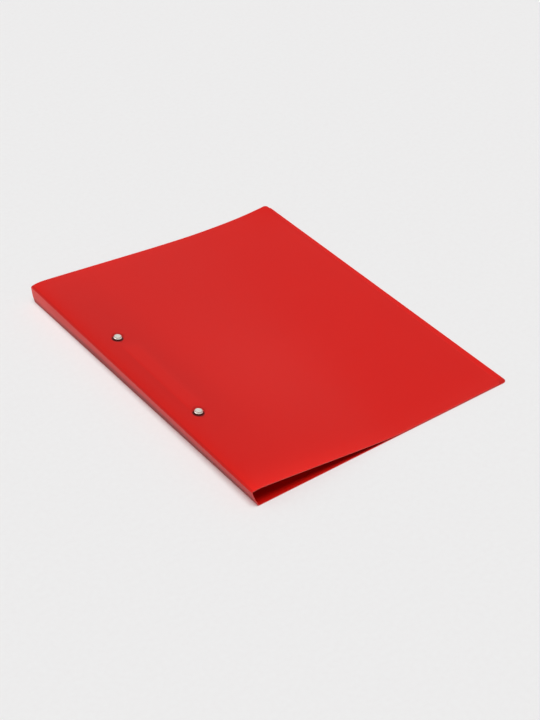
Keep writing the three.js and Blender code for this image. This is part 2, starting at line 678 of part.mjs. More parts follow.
const redPlastic = () => new THREE.MeshStandardMaterial({ color: 0xcc2b26, roughness: 0.45, metalness: 0 });
const nickel = () => new THREE.MeshStandardMaterial({ color: 0xd8d8cc, roughness: 0.25, metalness: 1 });
const springSteel = () => new THREE.MeshStandardMaterial({ color: 0x8f9296, roughness: 0.35, metalness: 1 });
const softGrip = () => new THREE.MeshStandardMaterial({ color: 0x2a2a2c, roughness: 0.8, metalness: 0 });

const folder = new THREE.Group();
folder.add(meshOf("bottom_cover", bottomCoverGeometry(), redPlastic()));
folder.add(meshOf("spine_panel", spineGeometry(), redPlastic()));

const topNear = topCrease(0);
const topFar = topCrease(COVER_LENGTH);
const sheetMiddle = SHEET_THICKNESS / 2;
folder.add(
  creaseWeb(
    "bottom_crease_web",
    new THREE.Vector3(0, 0, sheetMiddle),
    new THREE.Vector3(0, COVER_LENGTH, sheetMiddle),
    redPlastic(),
  ),
  creaseWeb(
    "top_crease_web",
    new THREE.Vector3(topNear.x, 0, topNear.y),
    new THREE.Vector3(topFar.x, COVER_LENGTH, topFar.y),
    redPlastic(),
  ),
);

const clip = new THREE.Group();
seatOnClipCover(clip);
clip.add(meshOf("clip_base_plate", basePlateGeometry(), nickel()));

const pin = meshOf("hinge_pin", hingePinGeometry(), springSteel());
pin.position.set(-PIN_SETBACK, 0, pinHeight);
clip.add(pin);

let clipCover = solidOf(clipCoverGeometry());
for (const [end, side] of [
  ["near", 1],
  ["far", -1],
]) {
  const rivet = meshOf("rivet_" + end, rivetGeometry(), nickel());
  rivet.position.y = (side * rivetPitch) / 2;
  clip.add(rivet);

  const holeRadius = RIVET_SHANK_DIAMETER / 2 + RIVET_HOLE_CLEARANCE;
  const hole = new THREE.CylinderGeometry(holeRadius, holeRadius, 6 * SHEET_THICKNESS, ROUND_SIDES);
  hole.rotateX(Math.PI / 2);
  hole.translate(0, rivet.position.y, -SHEET_THICKNESS / 2);
  hole.applyMatrix4(clip.matrixWorld);
  clipCover = clipCover.subtract(solidOf(hole));

  const name = "torsion_spring_" + end;
  const spring = meshOf(name, springGeometry(name, side), springSteel());
  spring.position.copy(pin.position);
  clip.add(spring);
}
folder.add(meshOf("clip_cover", geometryOf(clipCover), redPlastic()), clip);

const jaw = new THREE.Group();
jaw.position.copy(pin.position);
jaw.add(meshOf("clamp_jaw", jawGeometry(), nickel()));
jaw.add(meshOf("jaw_grip_strip", gripGeometry(), softGrip()));
clip.add(jaw);

// The origin is under the middle of the closed folder.
const box = new THREE.Box3().setFromObject(folder, true);
const middle = box.getCenter(new THREE.Vector3());
folder.position.set(-middle.x, -middle.y, -box.min.z);

export default folder;
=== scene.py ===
"""Looks of a spring clip folder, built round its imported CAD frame.

Shapes are worked out in millimetres, in the layout of the part's source: x is 0 at the bottom crease,
y is 0 at the near end, z is 0 on the floor. A mesh is moved to the frame's metres as it is made.
"""

import json
import logging
import math
from collections.abc import Callable, Sequence
from dataclasses import dataclass
from enum import Enum

import bpy
import numpy as np
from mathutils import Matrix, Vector


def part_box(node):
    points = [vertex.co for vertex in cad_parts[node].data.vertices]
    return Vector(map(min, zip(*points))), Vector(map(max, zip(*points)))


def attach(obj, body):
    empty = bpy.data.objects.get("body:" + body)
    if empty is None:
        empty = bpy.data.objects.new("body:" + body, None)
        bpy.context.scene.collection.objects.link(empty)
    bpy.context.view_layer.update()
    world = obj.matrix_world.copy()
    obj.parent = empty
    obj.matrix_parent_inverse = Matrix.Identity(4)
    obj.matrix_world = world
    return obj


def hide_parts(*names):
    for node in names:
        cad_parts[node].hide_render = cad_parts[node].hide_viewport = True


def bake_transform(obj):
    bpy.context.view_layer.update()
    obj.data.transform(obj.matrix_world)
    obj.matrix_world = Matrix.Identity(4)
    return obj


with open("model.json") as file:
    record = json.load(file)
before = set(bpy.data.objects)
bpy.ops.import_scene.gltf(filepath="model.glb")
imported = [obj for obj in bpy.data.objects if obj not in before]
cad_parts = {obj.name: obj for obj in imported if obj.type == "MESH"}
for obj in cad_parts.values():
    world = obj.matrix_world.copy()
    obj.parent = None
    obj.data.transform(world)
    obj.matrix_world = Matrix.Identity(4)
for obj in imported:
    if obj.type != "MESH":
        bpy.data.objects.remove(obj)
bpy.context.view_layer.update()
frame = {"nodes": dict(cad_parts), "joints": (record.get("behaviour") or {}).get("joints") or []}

log = logging.getLogger("folder")

MM = 0.001

Pair = tuple[float, float]
Colour = tuple[float, float, float, float]
Faces = list[list[int]]
Socket = bpy.types.NodeSocket


def linear(red: int, green: int, blue: int) -> Colour:
    """Turn an 8-bit display colour into the linear colour that a shader takes.

    Args:
        red: Red, 0 to 255.
        green: Green, 0 to 255.
        blue: Blue, 0 to 255.

    Returns:
        The colour as red, green, blue and alpha.
    """
    shares = [channel / 255 for channel in (red, green, blue)]
    slope, knee = 12.92, 0.04045
    flat = [s / slope if s <= knee else ((s + 0.055) / 1.055) ** 2.4 for s in shares]
    return (flat[0], flat[1], flat[2], 1.0)


def unit(vector: np.ndarray) -> np.ndarray:
    """Return vectors scaled to length 1, along their last axis."""
    return vector / np.linalg.norm(vector, axis=-1, keepdims=True)


def smooth(share: np.ndarray) -> np.ndarray:
    """Return a soft step from 0 to 1 as the share goes from 0 to 1."""
    held = np.clip(share, 0, 1)
    return held * held * (3 - 2 * held)


def ramp(values: np.ndarray, start: float, reach: float) -> np.ndarray:
    """Return a soft step from 0 at the start to 1 a reach further on."""
    return smooth((values - start) / reach)


def bump_between(values: np.ndarray, ends: Pair, fade: float) -> np.ndarray:
    """Return 1 between two ends and 0 outside, with flanks as wide as the fade, centred on the ends."""
    return smooth((values - ends[0]) / fade + 0.5) * smooth((ends[1] - values) / fade + 0.5)


def finer_near(
    values: np.ndarray, centres: Sequence[float], reach: float, count: int, clear: float
) -> np.ndarray:
    """Swap the values near each centre for closer ones.

    Args:
        values: Values with wide steps.
        centres: Where closer values are wanted.
        reach: How far these go from a centre, each way.
        count: How many of them a centre gets.
        clear: How far from a centre the wide steps end.

    Returns:
        All the values in order.
    """
    wide = [value for value in values if min(abs(value - centre) for centre in centres) > clear]
    close = [centre + offset for centre in centres for offset in np.linspace(-reach, reach, count)]
    return np.array(sorted([*wide, *close]))


class Layout:
    """Where the source's layout lies in the frame."""

    panel_setback = 0.6  # from a crease's axis to the bottom cover's edge

    def __init__(self) -> None:
        """Read the place of the layout's origin from the bottom cover."""
        low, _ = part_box("bottom_cover")
        self.origin = np.array(low) - np.array([self.panel_setback * MM, 0, 0])

    def metres(self, points: np.ndarray) -> np.ndarray:
        """Return layout points, in millimetres, as points of the frame."""
        return np.asarray(points, float) * MM + self.origin


LAYOUT = Layout()


def joint(name: str) -> dict:
    """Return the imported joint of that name."""
    return next(j for j in frame["joints"] if j["name"] == name)


class NodeBoard:
    """A material's node tree, with short calls that add a node and link it."""

    def __init__(self, name: str) -> None:
        """Make a material that holds one Principled shader.

        Args:
            name: The material's name.
        """
        self.material = bpy.data.materials.new(name)
        self.material.use_nodes = True
        self.tree = self.material.node_tree
        self.shader = self.tree.nodes["Principled BSDF"]
        self.place = self.add("ShaderNodeTexCoord").outputs["Object"]

    def add(self, kind: str, **settings: object) -> bpy.types.Node:
        """Add a node and set its options.

        Args:
            kind: The node's Blender type.
            **settings: Options set on the node.

        Returns:
            The new node.
        """
        node = self.tree.nodes.new(kind)
        for option, value in settings.items():
            setattr(node, option, value)
        return node

    def link(self, source: Socket, target: Socket) -> None:
        """Join an output to an input."""
        self.tree.links.new(source, target)

    def feed(self, **inputs: Socket) -> None:
        """Join outputs to the shader's inputs, named with _ for a space."""
        for name, source in inputs.items():
            self.link(source, self.shader.inputs[name.replace("_", " ")])

    def fix(self, **inputs: object) -> None:
        """Set the shader's own inputs that are the same all over, named with _ for a space."""
        for name, value in inputs.items():
            self.shader.inputs[name.replace("_", " ")].default_value = value

    def noise(self, size_mm: float, detail: float, stretch: tuple = (1, 1, 1)) -> Socket:
        """Add noise in the object's own space.

        Args:
            size_mm: Size of the pattern's grains.
            detail: How many finer octaves are added.
            stretch: Scale along each axis, above 1 to squeeze the pattern.

        Returns:
            The noise's value.
        """
        mapping = self.add("ShaderNodeMapping")
        mapping.inputs["Scale"].default_value = stretch
        self.link(self.place, mapping.inputs["Vector"])
        node = self.add("ShaderNodeTexNoise")
        node.inputs["Scale"].default_value = 1 / (size_mm * MM)
        node.inputs["Detail"].default_value = detail
        self.link(mapping.outputs["Vector"], node.inputs["Vector"])
        return node.outputs["Fac"]

    def attribute(self, name: str) -> Socket:
        """Return the value of a vertex attribute."""
        return self.add("ShaderNodeAttribute", attribute_name=name).outputs["Fac"]

    def spread(self, value: Socket, ends: Pair, span: Pair = (0.3, 0.7)) -> Socket:
        """Map a span of values to two new ends.

        Args:
            value: The values.
            ends: What the ends of the span become.
            span: The span, by default the middle of what a noise gives.

        Returns:
            The mapped value.
        """
        node = self.add("ShaderNodeMapRange")
        self.link(value, node.inputs["Value"])
        for name, end in zip(("From Min", "From Max", "To Min", "To Max"), (*span, *ends)):
            node.inputs[name].default_value = end
        return node.outputs["Result"]

    def mix(self, share: Socket, first: Socket | Colour, second: Socket | Colour) -> Socket:
        """Mix two colours.

        Args:
            share: How much of the second colour shows.
            first: A colour, or an output that gives one.
            second: A colour, or an output that gives one.

        Returns:
            The mixed colour.
        """
        node = self.add("ShaderNodeMix", data_type="RGBA")
        self.link(share, node.inputs["Factor"])
        for socket, colour in ((node.inputs["A"], first), (node.inputs["B"], second)):
            if isinstance(colour, tuple):
                socket.default_value = colour
            else:
                self.link(colour, socket)
        return node.outputs["Result"]

    def bump(self, height: Socket, depth_mm: float) -> Socket:
        """Add a bump of a real depth.

        Args:
            height: The pattern.
            depth_mm: The pattern's depth.

        Returns:
            The bumped normal.
        """
        node = self.add("ShaderNodeBump")
        node.inputs["Distance"].default_value = depth_mm * MM
        self.link(height, node.inputs["Height"])
        return node.outputs["Normal"]


@dataclass(frozen=True)
class SheetFinish:
    """Dyed polypropylene sheet with a fine matt grain, whose colour also carries painted light, sheen and
    shade.
    """

    name: str = "red_sheet"
    slot: str = "red_sheet"
    deep: Colour = linear(207, 18, 9)
    # Painted light shining through the sheet; also the light end of its random cloud.
    shone_through: Colour = linear(230, 24, 14)
    # Pale cut edge, partly the sheet's own whitening at the cut and partly painted light; the same colour is
    # the painted sheen.
    cut_edge_and_sheen: Colour = linear(252, 76, 70)
    # Painted shade beside the rivets, low on the spine, in the top crease, on the crown and just inside the
    # near end.
    painted_shade: Colour = linear(88, 1, 2)
    roughness: Pair = (0.42, 0.5)
    ior: float = 1.49
    specular: float = 0.2
    depth_mm: float = 0.8  # that light goes in
    depth_share: float = 0.35
    depth_by_colour: tuple = (1.0, 0.05, 0.03)
    grain_mm: float = 0.35
    grain_depth_mm: float = 0.004
    grain_detail: float = 3.0
    cloud_mm: float = 60.0
    cloud_share: float = 0.05
    gap_span: Pair = (0.7, 1.0)
    gap_metal: float = 0.9

    def make(self) -> bpy.types.Material:
        """Build the material and return it."""
        board = NodeBoard(self.name)
        painted_shade = board.attribute("painted_shade")
        cloud = board.spread(board.noise(self.cloud_mm, 1.0), (0.0, self.cloud_share))
        body = board.mix(cloud, self.deep, self.shone_through)
        lit = board.mix(board.attribute("lit_through"), body, self.shone_through)
        # Painted shade darkens the sheet's colour here.
        wear_and_shade = board.mix(painted_shade, lit, self.painted_shade)
        grain = board.noise(self.grain_mm, self.grain_detail)
        # Last comes the pale cut edge, partly painted light, together with the painted sheen.
        board.feed(
            Base_Color=board.mix(board.attribute("cut_edge_and_sheen"), wear_and_shade, self.cut_edge_and_sheen),
            Roughness=board.spread(grain, self.roughness),
            Normal=board.bump(grain, self.grain_depth_mm),
        )
        # Where the painted shade is deepest, in the ring round a rivet, the sheet turns metallic and
        # reflects in the painted shade's own dark red, as a gap that sees only red sheet would: a painted
        # dark reflection.
        board.feed(Metallic=board.spread(painted_shade, (0.0, self.gap_metal), self.gap_span))
        board.fix(
            IOR=self.ior,
            Specular_IOR_Level=self.specular,
            Subsurface_Weight=self.depth_share,
            Subsurface_Scale=self.depth_mm * MM,
            Subsurface_Radius=self.depth_by_colour,
        )
        return board.material


@dataclass(frozen=True)
class MetalFinish:
    """Plated or bare steel, drawn or pressed, with fine lines along one axis."""

    name: str
    slot: str
    bright: Colour
    dull: Colour
    roughness: Pair
    # Painted dark red reflection and painted shade: the shaded red sheet as the metal would reflect it.
    red_reflection_and_shade: Colour = linear(140, 18, 16)
    smear_mm: float = 9.0
    smear_detail: float = 2.0
    grain_mm: float = 0.5
    grain_detail: float = 3.0
    grain_stretch: tuple = (1.0, 0.12, 1.0)
    grain_depth_mm: float = 0.002

    def make(self) -> bpy.types.Material:
        """Build the material and return it."""
        board = NodeBoard(self.name)
        lines = board.noise(self.grain_mm, self.grain_detail, self.grain_stretch)
        smear = board.spread(board.noise(self.smear_mm, self.smear_detail), (0.0, 1.0))
        clean = board.mix(smear, self.bright, self.dull)
        # The base colour takes the painted red reflection and painted shade.
        board.feed(
            Base_Color=board.mix(board.attribute("red_reflection_and_shade"), clean, self.red_reflection_and_shade),
            Roughness=board.spread(lines, self.roughness),
            Normal=board.bump(lines, self.grain_depth_mm),
        )
        board.fix(Metallic=1.0)
        return board.material


@dataclass(frozen=True)
class GripFinish:
    """Soft dark vinyl with a dull, slightly uneven skin."""

    name: str = "grip_vinyl"
    slot: str = "soft_grip"
    dark: Colour = linear(40, 40, 43)
    wear_and_shade: Colour = linear(58, 58, 62)
    roughness: float = 0.62
    skin_mm: float = 0.8
    skin_detail: float = 4.0
    skin_depth_mm: float = 0.03

    def make(self) -> bpy.types.Material:
        """Build the material and return it."""
        board = NodeBoard(self.name)
        skin = board.noise(self.skin_mm, self.skin_detail)
        colour = board.mix(board.spread(skin, (0.0, 1.0)), self.dark, self.wear_and_shade)
        board.feed(Base_Color=colour, Normal=board.bump(skin, self.skin_depth_mm))
        board.fix(Roughness=self.roughness)
        return board.material


NICKEL = MetalFinish(
    "nickel_plate", "nickel_plate", linear(232, 230, 220), linear(214, 212, 202), (0.2, 0.3)
)
WIRE = MetalFinish(
    "spring_steel", "spring_steel", linear(176, 178, 182), linear(146, 148, 152), (0.25, 0.38), grain_mm=0.25
)


class Finishes:
    """The materials, each made once."""

    def __init__(self) -> None:
        """Build every material."""
        self.sheet = SheetFinish().make()
        self.nickel = NICKEL.make()
        self.wire = WIRE.make()
        self.grip = GripFinish().make()


def shown(name: str, data: bpy.types.ID) -> bpy.types.Object:
    """Make an object and link it to the scene.

    Args:
        name: The object's name.
        data: Its mesh, lamp or lens.

    Returns:
        The object.
    """
    made = bpy.data.objects.new(name, data)
    bpy.context.scene.collection.objects.link(made)
    return made


def piece(
    name: str,
    points: np.ndarray,
    faces: Faces,
    material: bpy.types.Material,
    attributes: dict[str, np.ndarray] | None = None,
    sharp_degrees: float = 50.0,
) -> bpy.types.Object:
    """Make an object from points in the layout.

    Args:
        name: The piece's name.
        points: Its vertices, in millimetres of the layout.
        faces: Its faces.
        material: Its finish.
        attributes: Values kept on its vertices.
        sharp_degrees: Edges that turn by more than this stay sharp.

    Returns:
        The object, linked to the scene.
    """
    mesh = bpy.data.meshes.new(name)
    mesh.from_pydata(LAYOUT.metres(points).tolist(), [], faces)
    mesh.validate()
    for key, values in (attributes or {}).items():
        layer = mesh.attributes.new(key, "FLOAT", "POINT")
        layer.data.foreach_set("value", np.asarray(values, np.float32))
    mesh.shade_smooth()
    mesh.set_sharp_from_angle(angle=math.radians(sharp_degrees))
    mesh.materials.append(material)
    made = shown(name, mesh)
    weighted = made.modifiers.new("even_shading", "WEIGHTED_NORMAL")
    weighted.keep_sharp = True
    log.info("%s: %d faces", name, len(mesh.polygons))
    return made


def joined(rings: Faces, closed: bool = True) -> Faces:
    """Join neighbouring rings of vertices with faces.

    Args:
        rings: The rings, each with as many vertices; a pole repeats its one vertex.
        closed: Whether each ring closes on itself.

    Returns:
        The faces.
    """
    faces = []
    for ring, following in zip(rings, rings[1:]):
        count = len(ring)
        for side in range(count if closed else count - 1):
            after = (side + 1) % count
            face = [ring[side], ring[after], following[after], following[side]]
            face = [v for place, v in enumerate(face) if v != face[place - 1]]
            if len(set(face)) > 2:
                faces.append(face)
    return faces


def turned(profile: Sequence[Pair], sides: int) -> tuple[np.ndarray, Faces]:
    """Turn a profile round the z axis.

    Args:
        profile: Radii and heights. A radius of 0 is a pole.
        sides: How many sides the solid has.

    Returns:
        Its points and its faces.
    """
    points, rings = [], []
    for radius, height in profile:
        if radius == 0:
            rings.append([len(points)] * sides)
            points.append((0.0, 0.0, height))
            continue
        rings.append(list(range(len(points), len(points) + sides)))
        for side in range(sides):
            turn = 2 * math.pi * side / sides
            points.append((radius * math.cos(turn), radius * math.sin(turn), height))
    return np.array(points), joined(rings)


def skinned(loops: list[np.ndarray], inside_out: bool) -> tuple[np.ndarray, Faces]:
    """Stretch a closed skin over loops of points that follow one another.

    Args:
        loops: The loops, each with as many points.
        inside_out: Whether the loops turn so that the faces have to be turned over.

    Returns:
        Its points and its faces.
    """
    count = len(loops[0])
    rings = [list(range(first, first + count)) for first in range(0, count * len(loops), count)]
    faces = joined(rings) + [rings[0][::-1], rings[-1]]
    return np.concatenate(loops), [face[::-1] for face in faces] if inside_out else faces


def arc(centre: Pair, radius: float, start: float, end: float, steps: int) -> list[Pair]:
    """Return points of an arc.

    Args:
        centre: Its centre.
        radius: Its radius.
        start: Its first angle in degrees.
        end: Its last angle in degrees.
        steps: How many steps it takes.

    Returns:
        The points, both ends included.
    """
    turns = np.radians(np.linspace(start, end, steps + 1))
    return [(centre[0] + radius * math.cos(a), centre[1] + radius * math.sin(a)) for a in turns]


def bezier(first: Pair, control: Pair, last: Pair, steps: int) -> list[Pair]:
    """Return points of a quadratic curve.

    Args:
        first: Its start.
        control: Its control point.
        last: Its end.
        steps: How many steps it takes.

    Returns:
        The points after the start, up to the end.
    """
    shares = np.linspace(0, 1, steps + 1)[1:, None]
    a, b, c = (np.array(point, float) for point in (first, control, last))
    return [tuple(p) for p in (1 - shares) ** 2 * a + 2 * shares * (1 - shares) * b + shares**2 * c]


class Side(Enum):
    """A side of a sheet's grid."""

    START = "start"
    END = "end"


@dataclass
class SheetSolid:
    """A closed solid round a grid of middle points, with rounded cut edges.

    The grid's middle points and outer normals are rows by columns by 3, and half the thickness is rows
    by columns. The edge is the radius of the cut edges, and the square sides meet another piece.
    """

    middle: np.ndarray
    normals: np.ndarray
    half: np.ndarray
    edge: float
    square: set[Side]
    edge_steps: int = 3

    def __post_init__(self) -> None:
        """Follow the grid's border once round."""
        self.rows, self.columns = self.middle.shape[:2]
        last_row, last_column = self.rows - 1, self.columns - 1
        near = [(0, column) for column in range(self.columns)]
        end = [(row, last_column) for row in range(1, self.rows)]
        far = [(last_row, column) for column in range(last_column - 1, -1, -1)]
        start = [(row, 0) for row in range(last_row - 1, 0, -1)]
        self.border = near + end + far + start

    def _is_joint(self, row: int, column: int) -> bool:
        """Tell whether a border point lies inside a square side."""
        at_start = column == 0 and Side.START in self.square
        at_end = column == self.columns - 1 and Side.END in self.square
        return 0 < row < self.rows - 1 and (at_start or at_end)

    def _outward(self, index: int) -> np.ndarray:
        """Return the direction out of the sheet at a border point."""
        here = self.border[index]
        beside = (self.border[index - 1], self.border[(index + 1) % len(self.border)])
        before, after = (here if self._is_joint(*place) else place for place in beside)
        return unit(np.cross(self.middle[after] - self.middle[before], self.normals[here]))

    def _round_edge(self, index: int) -> list[np.ndarray]:
        """Round the cut edge at a border point.

        Args:
            index: The point's place in the border.

        Returns:
            Points from the upper face to the lower one.
        """
        here, out = self.border[index], self._outward(index)
        turns = [0.5 * math.pi * step / self.edge_steps for step in range(self.edge_steps + 1)]
        upper = [
            (self.edge * (1 - math.sin(turn)), self.half[here] - self.edge * (1 - math.cos(turn)))
            for turn in turns
        ]
        profile = upper + [(inset, -height) for inset, height in reversed(upper)]
        return [self.middle[here] - inset * out + height * self.normals[here] for inset, height in profile]

    def build(self) -> tuple[np.ndarray, Faces, np.ndarray, np.ndarray]:
        """Work out the solid.

        Returns:
            Its points, its faces, the grid index of each point, and 1 for each point on a cut edge.
        """
        grid = self.rows * self.columns
        thick = self.half[..., None] * self.normals
        points = [*(self.middle + thick).reshape(-1, 3), *(self.middle - thick).reshape(-1, 3)]
        source = [*range(grid), *range(grid)]
        rings = []
        for index, (row, column) in enumerate(self.border):
            upper = row * self.columns + column
            lower = grid + upper
            if self._is_joint(row, column):
                rings.append([upper] * (self.edge_steps + 1) + [lower] * (self.edge_steps + 1))
                continue
            points[upper], *between, points[lower] = self._round_edge(index)
            rings.append([upper, *range(len(points), len(points) + len(between)), lower])
            points += between
            source += [upper] * len(between)
        faces = []
        for row in range(self.rows - 1):
            for column in range(self.columns - 1):
                a = row * self.columns + column
                face = [a, a + 1, a + self.columns + 1, a + self.columns]
                faces += [face, [grid + corner for corner in reversed(face)]]
        faces += joined([*rings, rings[0]], closed=False)
        cut = np.arange(len(points)) >= 2 * grid
        return np.array(points), faces, np.array(source), cut.astype(float)


@dataclass(frozen=True)
class SheetForm:
    """The folded sheet's sizes and middle line, as in the part's source. A pair is near end, far end."""

    thickness: float = 0.7
    length: float = 310.0
    width: float = 240.0
    corner_radius: float = 3.5
    spine_width: float = 16.2
    spine_bow: float = 0.4
    lean: Pair = (math.radians(20.6), math.radians(7.9))
    slope: Pair = (0.1236, 0.1052)
    landing: Pair = (123.4, 164.7)
    landing_blend: Pair = (6.0, 18.9)
    crown_length: float = 4.2
    landing_clearance: float = 0.3
    corner_lift: float = 2.3
    corner_lift_reach: float = 45.0
    fold_radius: float = 0.55
    fold_width: float = 0.8
    fold_thinning: float = 0.16
    line_step: float = 0.05
    line_overrun: float = 2.0  # past both fore edges

    @property
    def landed(self) -> float:
        """Return the height of the clip cover's middle where it lies on the bottom cover."""
        return 1.5 * self.thickness + self.landing_clearance

    def between(self, ends: tuple, y: float | np.ndarray) -> float | np.ndarray:
        """Return a value that changes evenly from the near end to the far end."""
        return ends[0] + (ends[1] - ends[0]) * y / self.length

    def top_crease_x(self, y: float | np.ndarray) -> float | np.ndarray:
        """Return x of the top crease's axis at y."""
        return self.between(tuple(-self.spine_width * math.sin(lean) for lean in self.lean), y)

    def spine_height(self, y: float | np.ndarray) -> float | np.ndarray:
        """Return how high the top crease's axis lies over the bottom crease's at y."""
        return self.between(tuple(self.spine_width * math.cos(lean) for lean in self.lean), y)

    def curl(self, distance: np.ndarray) -> np.ndarray:
        """Return how strongly the far corner curls at a distance from an edge."""
        return np.clip(1 - distance / self.corner_lift_reach, 0, 1) ** 2

    def cover_height(self, x: np.ndarray, y: float) -> np.ndarray:
        """Return the height of the clip cover's middle surface.

        Args:
            x: Places across the cover.
            y: Place along it.

        Returns:
            The heights.
        """
        measures = (self.slope, self.landing, self.landing_blend)
        slope, landing, blend = (self.between(ends, y) for ends in measures)
        crease_x, crease_z = self.top_crease_x(y), self.thickness / 2 + self.spine_height(y)

        def falling(place: np.ndarray) -> np.ndarray:
            """Return the height of the falling and landed part."""
            return self.landed + slope * blend * np.logaddexp(0, (landing - place) / blend)

        crown = (falling(crease_x) - crease_z) * np.exp((crease_x - x) / self.crown_length)
        lift = self.corner_lift * self.curl(self.width - x) * self.curl(np.array(self.length - y))
        return falling(x) - crown + lift

    def line(self, y: float) -> tuple[np.ndarray, np.ndarray]:
        """Follow the sheet's middle line at y, from one fore edge round the spine to the other.

        Args:
            y: Place along the folder.

        Returns:
            Distances along the sheet, 0 at the bottom crease, and the points x and z there.
        """
        step, reach_out = self.line_step, self.width + self.line_overrun
        foot = np.array([0.0, self.thickness / 2])
        rise = np.array([self.top_crease_x(y), self.spine_height(y)])
        reach = np.linalg.norm(rise)
        along = rise / reach
        outwards = np.array([-along[1], along[0]])
        under = np.arange(-reach_out, 0, step)
        bottom = np.stack([-under, np.full_like(under, foot[1])], -1)
        up = np.arange(0, reach, step)
        bow = self.spine_bow * np.sin(math.pi * up / reach)
        spine = foot + up[:, None] * along + bow[:, None] * outwards
        x = np.arange(rise[0], rise[0] + reach_out, step)
        height = self.cover_height(x, y)
        gone = np.concatenate([[0], np.cumsum(np.hypot(np.diff(x), np.diff(height)))])
        over = np.arange(0, gone[-1], step)
        cover = np.stack([np.interp(over, gone, x), np.interp(over, gone, height)], -1)
        distances = np.concatenate([under, up, self.spine_width + over])
        points = np.concatenate([bottom, spine, cover])
        window = int(round(self.fold_radius / step)) * 2 + 1
        kernel = np.ones(window) / window
        soft = np.stack([np.convolve(points[:, i], kernel, "same") for i in range(2)], -1)
        keep = slice(window, -window)
        return distances[keep], soft[keep]

    def half_thickness(self, distance: np.ndarray) -> np.ndarray:
        """Return half the sheet's thickness, less at the two pressed creases."""
        creases = (0.0, self.spine_width)
        pressed = sum(np.exp(-(((distance - crease) / self.fold_width) ** 2)) for crease in creases)
        return self.thickness / 2 * (1 - self.fold_thinning * pressed)


@dataclass(frozen=True)
class ClampForm:
    """The clamp's sizes, as in the part's source, in millimetres of the clip's own axes."""

    rivet_setback: float = 20.3
    rivet_offset: float = -1.6
    rivet_to_jaw: float = 6.5
    jaw_length: float = 100.0
    jaw_thickness: float = 0.8
    jaw_edge: float = 0.2
    jaw_clearance: float = 0.5  # from the coil to the crown
    jaw_reach: float = 18.0
    jaw_drop: float = 3.4
    jaw_bend: float = 1.4
    jaw_corner: float = 4.0
    flange: float = 1.6  # width of the jaw's edge that is bent down to a cheek
    fold: float = 1.2
    rib_pitch: float = 22.0
    rib_count: int = 4
    rib_straight: float = 3.5  # half its length without the round ends
    rib_height: float = 0.45
    rib_flank: Pair = (0.375, 1.5)  # from its middle, and width
    cheek_radius: float = 2.6
    cheek_clearance: float = 0.35
    cheek_turn: Pair = (0.4, 2.4)  # cheek height where the flange starts to turn down, and reach
    lip_length: float = 64.0
    lip_reach: float = 10.6
    lip_rise: float = 3.4
    lip_curl: float = 1.1
    lip_curl_reach: float = 0.4
    lip_root: float = 4.2
    # Places behind the pin, closer together where the cheek ends and at the lip's root.
    lip_stations: tuple = (
        *(2.0, 2.3, 2.5, 2.62, 2.9, 3.3, 3.7, 4.05, 4.35),
        *(4.9, 5.6, 6.5, 7.3, 8.2, 8.9, 9.5),
    )
    plate_reach: float = 18.0
    plate_top: float = 1.4
    plate_edge: float = 0.14
    plate_flat_degrees: float = 0.5  # faces that turn by less are one flat face
    plate_sharp_degrees: float = 50.0  # edges that turn by more are rounded
    pin_radius: float = 1.4
    pin_setback: float = 3.0
    pin_head_radius: float = 2.2
    pin_head_height: float = 0.9
    pin_soft: float = 0.1  # taken off its edges
    pin_seat: float = 0.3  # length that is full size inside a cheek
    pin_dome: tuple = (0.25, 1.45, 8)  # first and last angle of the heads' domes, and points
    wire_radius: float = 0.5
    wire_tip: float = 0.6  # share of the radius left at the wire's tips
    wire_tip_length: float = 0.2
    coil_radius: float = 2.2
    coil_pitch: float = 1.5
    coil_turns: float = 6.5
    coil_start: float = 21.6
    leg_length: float = 9.5
    leg_end: float = 0.4  # from the pin's axis, where the coil begins
    seat_gap: float = 0.3
    grip_wall: float = 0.8
    grip_clearance: float = 0.25
    grip_depth: float = 1.9
    grip_inset: float = 3.0
    grip_edges: tuple = (0.45, 0.22, 0.15)  # radii at the sole, at the top outside and inside
    grip_ends: tuple = ((0.2, 1.0), (0.05, 0.96), (0.0, 0.9))  # distance from the end, and scale
    grip_end_length: float = 3.0
    grip_middle: float = 0.6  # height over the sole that the ends shrink towards
    ridge_height: float = 0.12
    ridge_pitch: float = 0.62

    @property
    def rivet_pitch(self) -> float:
        """Return the distance between the rivets."""
        return self.jaw_length + 2 * self.rivet_to_jaw

    @property
    def pin_height(self) -> float:
        """Return the height of the pin's axis."""
        return self.plate_top + self.coil_radius + self.wire_radius + self.seat_gap

    @property
    def crown_height(self) -> float:
        """Return the height of the jaw's crown over the pin."""
        return self.coil_radius + self.wire_radius + self.jaw_clearance + self.jaw_thickness

    @property
    def grip_foot(self) -> float:
        """Return the height of the grip strip's sole, from the pin."""
        return self.plate_top + self.seat_gap - self.pin_height

    @property
    def ribs(self) -> list[float]:
        """Return where the jaw's pressed ribs lie along it."""
        return [self.rib_pitch * (i - (self.rib_count - 1) / 2) for i in range(self.rib_count)]

    def lip_height(self, x: float) -> float:
        """Return the height of the thumb lip's middle behind the pin."""
        return self.crown_height - self.lip_rise / self.lip_reach * x

    def front_height(self, x: float) -> float:
        """Return the height of the front plate's middle before the pin."""
        return self.crown_height - self.jaw_drop / self.jaw_reach * x


